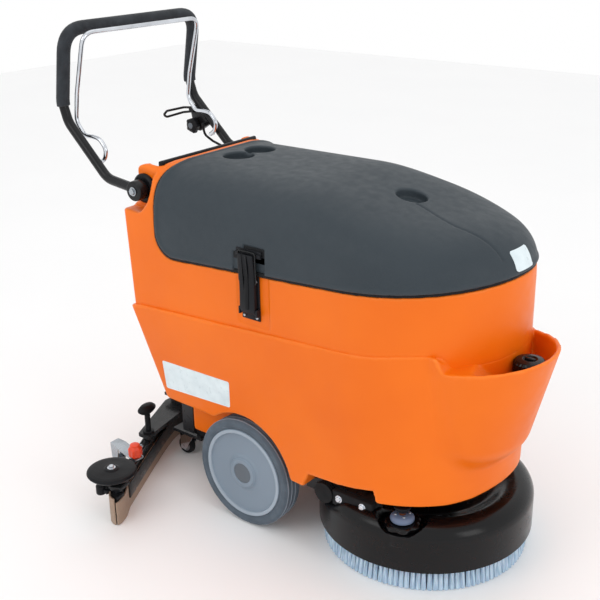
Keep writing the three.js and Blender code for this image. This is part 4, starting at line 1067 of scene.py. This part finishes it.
def add_squeegee_fittings(name, side):
    """One side's bumper roller with its bolt, its wheel fork, and its two knobs."""
    radius, bottom, top = BUMPER["radius"], BUMPER["bottom"], BUMPER["top"]
    place = (BUMPER["x"], side * BUMPER["y"])
    roller = [(5.3, bottom), (radius - 5, bottom, 4), (radius, bottom + 6, 5), (radius - 3, top - 1, 4),
              (radius - 12, top, 4), (18, top + 1, 6), (14, top + 3, 2), (5.3, top + 3)]
    make(f"bumper_disc_{name}", lathe(roller, 2, 96, closed=True).at(*place), "black_plastic",
         f"bumper_roller_{name}", [f"bumper_roller_{name}"])
    bolt = joined(rod("z", 9.5, top + 1.5, top + 4.4, place, 0.6, 40),
                  hexagon("z", 6.2, top + 4, top + 9, place))
    make(f"bumper_bolt_{name}", bolt, "chrome", "squeegee")
    keep(f"squeegee_fork_{name}", "steel", 0.0015)

    def flats(angle, radius, height):
        return 1 + 0.07 * math.cos(6 * angle) if radius > 11 and height < 106 else 1

    profile = [(0, 64), (4, 64), (4, 79.8), (13, 79.8, 1), (15.5, 84, 2), (15.5, 102, 3),
               (11.5, 108, 2), (11.5, 112, 2), (0, 114)]
    height_knob = lathe(profile, 1.5, 96, wave=flats).at(-307, side * 262)
    make(f"height_knob_{name}_grip", height_knob, "red", f"height_knob_{name}",
         [f"height_knob_{name}"])
    stem = joined(rod("z", 7, 94.4, 150, (0, 0), 1), rod("z", 14, 94.4, 100, (0, 0), 1.5, 40))
    bar = lathe([(0, -13), (9, -11.4, 5), (14.6, -3, 8), (14.6, 3, 8), (9, 11.4, 5), (0, 13)], 6, 48)
    bar = bar.moved(Matrix.Translation((0, 0, 158)) @ Matrix.Diagonal((1, 1.82, 1, 1)))
    clamp_knob = joined(stem, bar).at(-350, side * 178)
    make(f"clamp_knob_{name}_grip", clamp_knob, "black_plastic", f"clamp_knob_{name}",
         [f"clamp_knob_{name}"])


# ---- brush deck -------------------------------------------------------------------------------
def deck_dome(rings=26, sides=480):
    """The domed cover: high at its front shoulder, low under the arm, with a well for the handwheel."""
    radius, wall, rim = DECK["radius"], DECK["wall"], DECK["rim_bottom"]
    shoulder, skirt_top, well_floor, well_slope = 34, 80, 128.4, 2.2

    def skin_points(inset):
        profile = [(radius - inset, rim), (radius - inset, skirt_top)]
        for i in range(rings + 1):
            turn = math.pi / 2 * i / rings
            profile.append((radius - shoulder + (shoulder - inset) * math.cos(turn),
                            DECK["crown"] - shoulder + (shoulder - inset) * math.sin(turn)))
        inner = np.linspace(radius - shoulder - 2, 44, rings * 2)
        return profile + [(r, DECK["crown"] - inset) for r in inner]

    outer = skin_points(0)
    profile = outer + skin_points(wall)[::-1]
    dome = lathe([(r, z, 0) for r, z in profile], 0, sides, closed=True).at(DECK["x"])
    x, y, z = dome.points.T
    # the crown sinks to the floor under the arm and towards the middle
    sinking = 1 - ease(210, 270, x) + ease(radius - 42, radius - 90, np.hypot(x - DECK["x"], y))
    share = ease(96, DECK["crown"], z) * np.minimum(sinking, 1)
    z = z - (DECK["crown"] - DECK["floor"]) * share
    well = np.hypot(x - BUSH["x"], y - BUSH["y"]) - BUSH["well"]
    inside = np.arange(len(z)) // sides > len(outer)
    ceiling = well_floor + np.maximum(well + 3, 0) * well_slope - wall * inside
    return Shape(np.stack([x, y, np.minimum(z, np.maximum(ceiling, rim + 2))], 1), dome.faces)


def over_bush(shape):
    return shape.at(BUSH["x"], BUSH["y"])


def add_deck():
    """The dome with its handwheel and bush, and the fittings on the deck's arm."""
    boss = lathe([(16, 104), (42, 104), (41, 128.6, 3), (16, 128.6)], 2, 96, closed=True)
    make("deck_dome", joined(deck_dome(), over_bush(boss)), "deck_black", "deck", ["deck_cover"])

    def lobes(angle, radius, height):
        return 1 + 0.13 * (0.5 + 0.5 * math.cos(7 * angle)) ** 0.6 if radius > 20 else 1

    rim = [(6.3, 129.4), (31, 129.4, 3), (34.5, 133, 3), (34.5, 139, 3), (30, 142, 2), (6.3, 142)]
    make("deck_handwheel_rim", over_bush(lathe(rim, 1.5, 140, closed=True, wave=lobes)),
         "deck_black", "deck_handwheel", ["deck_handwheel"])
    cup = [(0, 104), (6, 104), (6, 142.4), (21, 142.4, 2), (24.5, 145, 2), (24.5, 150, 3),
           (20, 155, 3), (14, 156.6, 2), (0, 156.6)]
    make("deck_bush_cup", over_bush(lathe(cup, 1.5, 72)), "blue_grey", "deck", ["deck_bush"])
    tip = lathe([(0, 154), (6.5, 154), (7.5, 161, 1), (0, 161)], 1, 48)
    make("deck_bush_tip", over_bush(tip), "copper", "deck")
    cone = lathe([(0, 160.6), (7.5, 160.6), (18, 173, 2), (18, 177, 2), (0, 177)], 1, 64)
    make("deck_bush_cone", over_bush(cone), "black_plastic", "deck")
    screws = []
    for i in range(4):
        angle = math.pi * (i + 0.5) / 2
        place = (14.5 * math.cos(angle), 14.5 * math.sin(angle))
        screws.append(over_bush(hexagon("z", 2.8, 154, 158.6, place)))
    make("deck_bush_screws", joined(*screws), "steel", "deck")
    keep("deck_arm", "black_paint", 0.0025)
    keep("brush_motor", "black_paint", 0.0015)
    pads, bolts = [], []
    for _, side in SIDES:
        ribs = [rod("y", 23 if i % 2 else 20.5, 184 + 2.8 * i, 187 + 2.8 * i, (211, 148), 0.5, 64)
                for i in range(8)]
        pads.append(on_side(joined(*ribs, block(232, 333, 184, 204, 128, 164, 4)), side))
        for place in ((250, 147), (309, 150)):
            washer = rod("y", 8.5, 203.5, 205.1, place, 0.4, 40)
            bolts.append(on_side(joined(washer, hexagon("y", 6.4, 204.5, 209.5, place)), side))
    make("deck_arm_bosses", joined(*pads), "black_rubber", "deck")
    make("deck_arm_bolts", joined(*bolts), "chrome", "deck")


def tuft(radius_low, radius_high, height, flutes=7):
    """One bundle of bristle: a tapering, slightly splayed bunch with a cut, fluted end."""
    points = []
    for share, up, lift in ((0.35, 0, 1.4), (1.0, 0, 0), (0.97, 0.35, 0), (0.86, 1, 0)):
        radius = (radius_low + (radius_high - radius_low) * up) * share
        for k in range(flutes * 2):
            angle = math.pi * k / flutes
            reach = radius * (1.0 if k % 2 else 0.84)
            points.append((reach * math.cos(angle), reach * math.sin(angle), height * up + lift))
    return ringed(points, flutes * 2)


def add_brush():
    """Rings of bristle tufts, each leaning out a little, round a plain driver block."""
    random = np.random.default_rng(7)
    base = tuft(6.0, 4.3, BRUSH["top"] - 0.6)
    tufts = []
    rows = [(6.5, 118), (19, 96), (33, 84), (48, 74), (64, 62), (82, 50), (95, 40)]
    for row, (set_in, count) in enumerate(rows):
        radius = BRUSH["radius"] - set_in
        for i in range(count):
            angle = 2 * math.pi * (i + 0.5 * (row % 2)) / count + random.normal(0, 0.0025)
            lean = math.radians(6 if row < 2 else 3) + random.normal(0, 0.008)
            root = Matrix.Translation((DECK["x"], 0, 0)) @ Matrix.Rotation(angle, 4, "Z")
            root = root @ Matrix.Translation((radius, 0, 0.6 + abs(random.normal(0, 0.4))))
            splay = Matrix.Shear("XY", 4, (-math.tan(lean), 0))
            spin = Matrix.Rotation(random.uniform(0, 1), 4, "Z")
            tufts.append(base.moved(root @ splay @ spin))
    make("bristle_tufts", joined(*tufts), "bristle", "brush", ["bristles"], 60)
    keep("brush_block", "grey_plastic", 0.001)


# ---- latch, hinge and labels ------------------------------------------------------------------
def add_latch():
    """The lever, its wire, the seat on the tank, and the catch in the lid's notch."""
    x, z, width, face = LATCH["x"], LATCH["z"], LATCH["width"], LATCH["face"]
    curve = [(face - 5.5, z - 3), (face - 5.0, z + 20), (face - 4.5, z + 60), (face - 8, z + 88),
             (face - 11, z + 110), (face - 13, z + 124), (face - 19, z + 124),
             (face - 16.5, z + 104), (face - 15, z + 84), (face - 15, z + 40), (face - 16, z + 6),
             (face - 12, z - 5)]
    lever = prism(curve, x - width / 2, x + width / 2, "x", 2.2, 3)
    rib = prism([(a - 1.2, b) for a, b in curve[6:11]] + [(face - 12, z + 30)], x - 6, x + 6, "x", 0.6)
    make("latch_lever_handle", joined(lever, rib), "black_plastic", "latch_lever", ["latch_lever"])
    out = width / 2 + 2
    low, high = z + 62, z + 129
    route = [(x, face - 10.5, low), (x + out, face - 10.5, low), (x + out, face - 12, high),
             (x - out, face - 12, high), (x - out, face - 10.5, low), (x - 6, face - 10.5, low)]
    make("latch_wire_bow", tube(rounded_path(route, 5), 1.8, 16), "black_paint", "latch_wire",
         ["latch_wire"])
    plate = block(x - 24, x + 24, face - 3.5, face - 0.3, z - 20, z + 76, 1.2)
    lugs = [block(x - width / 2 - 5, x - width / 2 - 0.5, face - 14, face - 3, z - 8, z + 8, 1),
            block(x + width / 2 + 0.5, x + width / 2 + 5, face - 14, face - 3, z - 8, z + 8, 1)]
    pin = rod("x", 2.5, x - width / 2 - 5.6, x + width / 2 + 5.6, (face - 9, z), 0.6, 24)
    rivets = [hexagon("y", 3.5, 3 - face, 5.5 - face, (x + across, z + up)).mirrored()
              for across in (-17, 17) for up in (66, -13)]
    make("latch_plate", joined(plate, *lugs, pin), "black_plastic", "chassis", ["latch_base"])
    make("latch_plate_rivets", joined(*rivets), "steel", "chassis")
    # a thin black sheet over the back wall of the lid's notch: painted shade for the notch's shadowed
    # inside
    notch_shade_sheet = joined(block(x - 43.4, x + 41.4, face - 2.4, face - 0.9, z + 106, z + 120, 0.3),
                    block(x - 13.4, x + 41.4, face - 2.4, face - 0.9, z + 106, z + 138, 0.3))
    make("lid_notch_painted_shade", notch_shade_sheet, "black_rubber", "lid")
    catch = joined(block(x - 32, x + 34, face - 6.5, face - 3.5, z + 117, z + 132, 0.8),
                   block(x - 32, x + 34, face - 9.5, face - 6.3, z + 118, z + 126, 1))
    make("lid_catch_plate", catch, "black_plastic", "lid", ["lid_catch"])


def add_hinge():
    """A leaf and three barrels on the tank, and a plate with two knuckles on the lid."""
    x, y, z = HINGE["x"], HINGE["y"], HINGE["z"]
    leaf = block(x - 90, x + 90, y - 8.9, y - 5.4, z - 50, z - 24, 1)
    barrels = [rod("x", 5, x + at - 14, x + at + 14, (y, z), 0.8, 32) for at in (-70, 0, 70)]
    webs = [block(x + at - 14, x + at + 14, y - 6, y, z - 30, z - 2, 0.8) for at in (-70, 0, 70)]
    make("hinge_leaf", joined(leaf, *barrels, *webs), "black_plastic", "chassis", ["lid_hinge"])
    screws = [hexagon("y", 4, y - 5.6, y - 2.4, (x + at, z - 38)) for at in (-78, -38, 38, 78)]
    make("hinge_screws", joined(*screws), "steel", "chassis")
    knuckles = [rod("x", 5, x + at - 19, x + at + 19, (y, z), 0.8, 32) for at in (-35, 35)]
    plates = [block(x + at - 19, x + at + 19, y - 6, y, z, z + 8, 0.8) for at in (-35, 35)]
    plate = block(x - 54, x + 54, y - 6, y - 3, z + 5.5, z + 34, 0.8)
    pin = rod("x", 2, x - 92, x + 92, (y, z), 0.4, 20)
    make("hinge_plate_and_pin", joined(pin, *knuckles, *plates, plate), "steel", "lid", ["hinge_pin"])


def lid_label_shape(lid, columns=24, rows=14):
    """A blank label laid on the lid's nose: a grid with rounded corners, snapped to the lid."""
    width, height, corner, thick = 58, 36, 4, 1.0
    middle_y, middle_z = -5, 674.5
    tree = BVHTree.FromPolygons([Vector(p) for p in lid.points.tolist()], lid.faces)
    sheets = [[], []]
    for j in range(rows + 1):
        up = height * (j / rows - 0.5)
        cut = max(abs(up) - (height / 2 - corner), 0)
        half = width / 2 - corner + math.sqrt(max(corner ** 2 - cut ** 2, 0))
        for i in range(columns + 1):
            spot = (700, middle_y + half * (2 * i / columns - 1), middle_z + up)
            place, normal, _, _ = tree.ray_cast(Vector(spot), Vector((-1, 0, 0)))
            sheets[0].append(place - normal * 0.3)
            sheets[1].append(place + normal * thick)
    size, across = (rows + 1) * (columns + 1), columns + 1
    faces = []
    for j in range(rows):
        for i in range(columns):
            a = j * across + i
            faces.append((a, a + across, a + across + 1, a + 1))
            faces.append((size + a, size + a + 1, size + a + across + 1, size + a + across))
    rim = list(range(columns)) + [j * across + columns for j in range(rows)]
    rim += [rows * across + i for i in range(columns, 0, -1)] + [j * across for j in range(rows, 0, -1)]
    faces += [(a, b, b + size, a + size) for a, b in zip(rim, rim[1:] + rim[:1])]
    return Shape(sheets[0] + sheets[1], faces)


def side_label_shape():
    """A blank label laid on the lower tank's straight right side, with rounded corners."""
    corner = 5
    under, over = [], []
    outline = [Vector(p) for p in ((-237, 262), (-30, 279), (-29, 341), (-242, 331))]
    for i, at in enumerate(outline):
        start = at + (outline[i - 1] - at).normalized() * corner
        end = at + (outline[(i + 1) % 4] - at).normalized() * corner
        for t in (0, 0.25, 0.5, 0.75, 1):
            x, z = start * (1 - t) ** 2 + at * (2 * t * (1 - t)) + end * t * t
            plan = lower_plan(z)
            half = side_half(x, plan["rear"], plan["rear_half"], plan["nose_half"])
            under.append((x, 0.4 - half, z))
            over.append((x, -half - 0.5, z))
    return ringed(under + over, len(under))


def add_labels(lid):
    """The two labels are left blank: only their outlines and places are kept."""
    make("side_label_blank", side_label_shape(), "label", "chassis")
    make("lid_label_blank", lid_label_shape(lid), "label", "lid")


# ---- control panel and what is inside ---------------------------------------------------------
def add_panel():
    """The dashboard with its hood, a blank gauge, a key switch and two rocker switches."""
    plate = block(-323, -262.5, -159, 159, 742, 750, 2)
    hood = block(-272, -262.5, -159, 159, 748, 778, 4)
    body = block(-305, -265, -147, 147, 706, 742.5, 2)
    bezels = [block(-302, -273, at - 12.5, at + 12.5, 749, 751.4, 1) for at in (42, 84)]
    make("dashboard_plate", joined(plate, hood, body, *bezels), "black_plastic", "chassis",
         ["dashboard_panel"])
    bezel = lathe([(20, 749), (23.5, 749), (23.5, 752.5, 1.2), (20, 752.5, 0.8)], 1, 72, closed=True)
    make("gauge_bezel", bezel.at(*GAUGE), "chrome", "chassis")
    make("gauge_face", rod("z", 20, 748, 751.2, GAUGE, 0.4, 64), "label", "chassis")
    marks = [block(-0.9, 0.9, -2, 14, 0, 1.2, 0.3).moved(Matrix.Rotation(0.6, 4, "Z"))]
    for i in range(9):
        tick = block(13.5, 18, -0.5, 0.5, 0, 0.4, 0.1, 1)
        marks.append(tick.moved(Matrix.Rotation(math.radians(-40 + i * 32.5), 4, "Z")))
    make("gauge_needle_and_ticks", joined(*marks).at(*GAUGE, 751.1), "black_plastic", "chassis")
    key = joined(rod("z", 11, 749, 754, (-290, 0), 1.5, 48), block(-299, -281, -2, 2, 753, 759, 1.2))
    make("key_switch", key, "steel", "chassis")
    screws = [hexagon("z", 4, 749.6, 752.4, (x, y)) for x in (-314, -279) for y in (-150, 150)]
    make("dashboard_screws", joined(*screws), "steel", "chassis")
    keep("brush_switch", "grey_plastic", 0.0008)
    keep("vacuum_switch", "red", 0.0008)


def add_fill_cap():
    """A large ribbed cap over the filler bore."""
    def ribs(angle, radius, height):
        return 1 + 0.03 * math.cos(24 * angle) if radius > 28 and height < 480 else 1

    radius = CAP["radius"]
    profile = [(0, 432), (9.5, 432), (9.5, 446), (radius - 3, 446, 2), (radius, 452, 2), (radius, 478, 3),
               (radius - 4, 484, 4), (14, 486, 3), (12, 483, 2), (0, 483)]
    cap = lathe(profile, 1.5, 192, wave=ribs)
    bar = block(-11, 11, -3, 3, 482, 487, 1.5)
    make("fill_cap_ribbed", joined(cap, bar).at(CAP["x"], CAP["y"]), "deck_black", "fill_cap",
         ["fill_cap"])


def add_kept_nodes():
    """The nodes that keep their CAD shape under a finished material."""
    keep("chassis_frame", "black_paint", 0.0012)
    keep("axle", "steel", 0.0008)
    keep("squeegee_yoke", "black_paint", 0.0015)
    keep("squeegee_arm", "black_paint", 0.0015)
    keep("float_cage", "grey_plastic", 0.001)
    keep("vacuum_motor", "black_plastic", 0.001)
    for side in ("left", "right"):
        keep(f"battery_{side}", "battery", 0.0015)
        keep(f"castor_fork_{side}", "chrome", 0.0008)


add_camera()
add_studio()
add_floor(floor_paint())
lid_surface = add_bodies()
for side_name, side_sign in SIDES:
    add_main_wheel(side_name, side_sign)
    add_small_wheels(side_name, side_sign)
add_handle()
for side_name, side_sign in SIDES:
    add_handle_pivot(side_name, side_sign)
add_lift_controls()
add_squeegee()
for side_name, side_sign in SIDES:
    add_squeegee_fittings(side_name, side_sign)
add_deck()
add_brush()
add_latch()
add_hinge()
add_labels(lid_surface)
add_panel()
add_fill_cap()
add_kept_nodes()
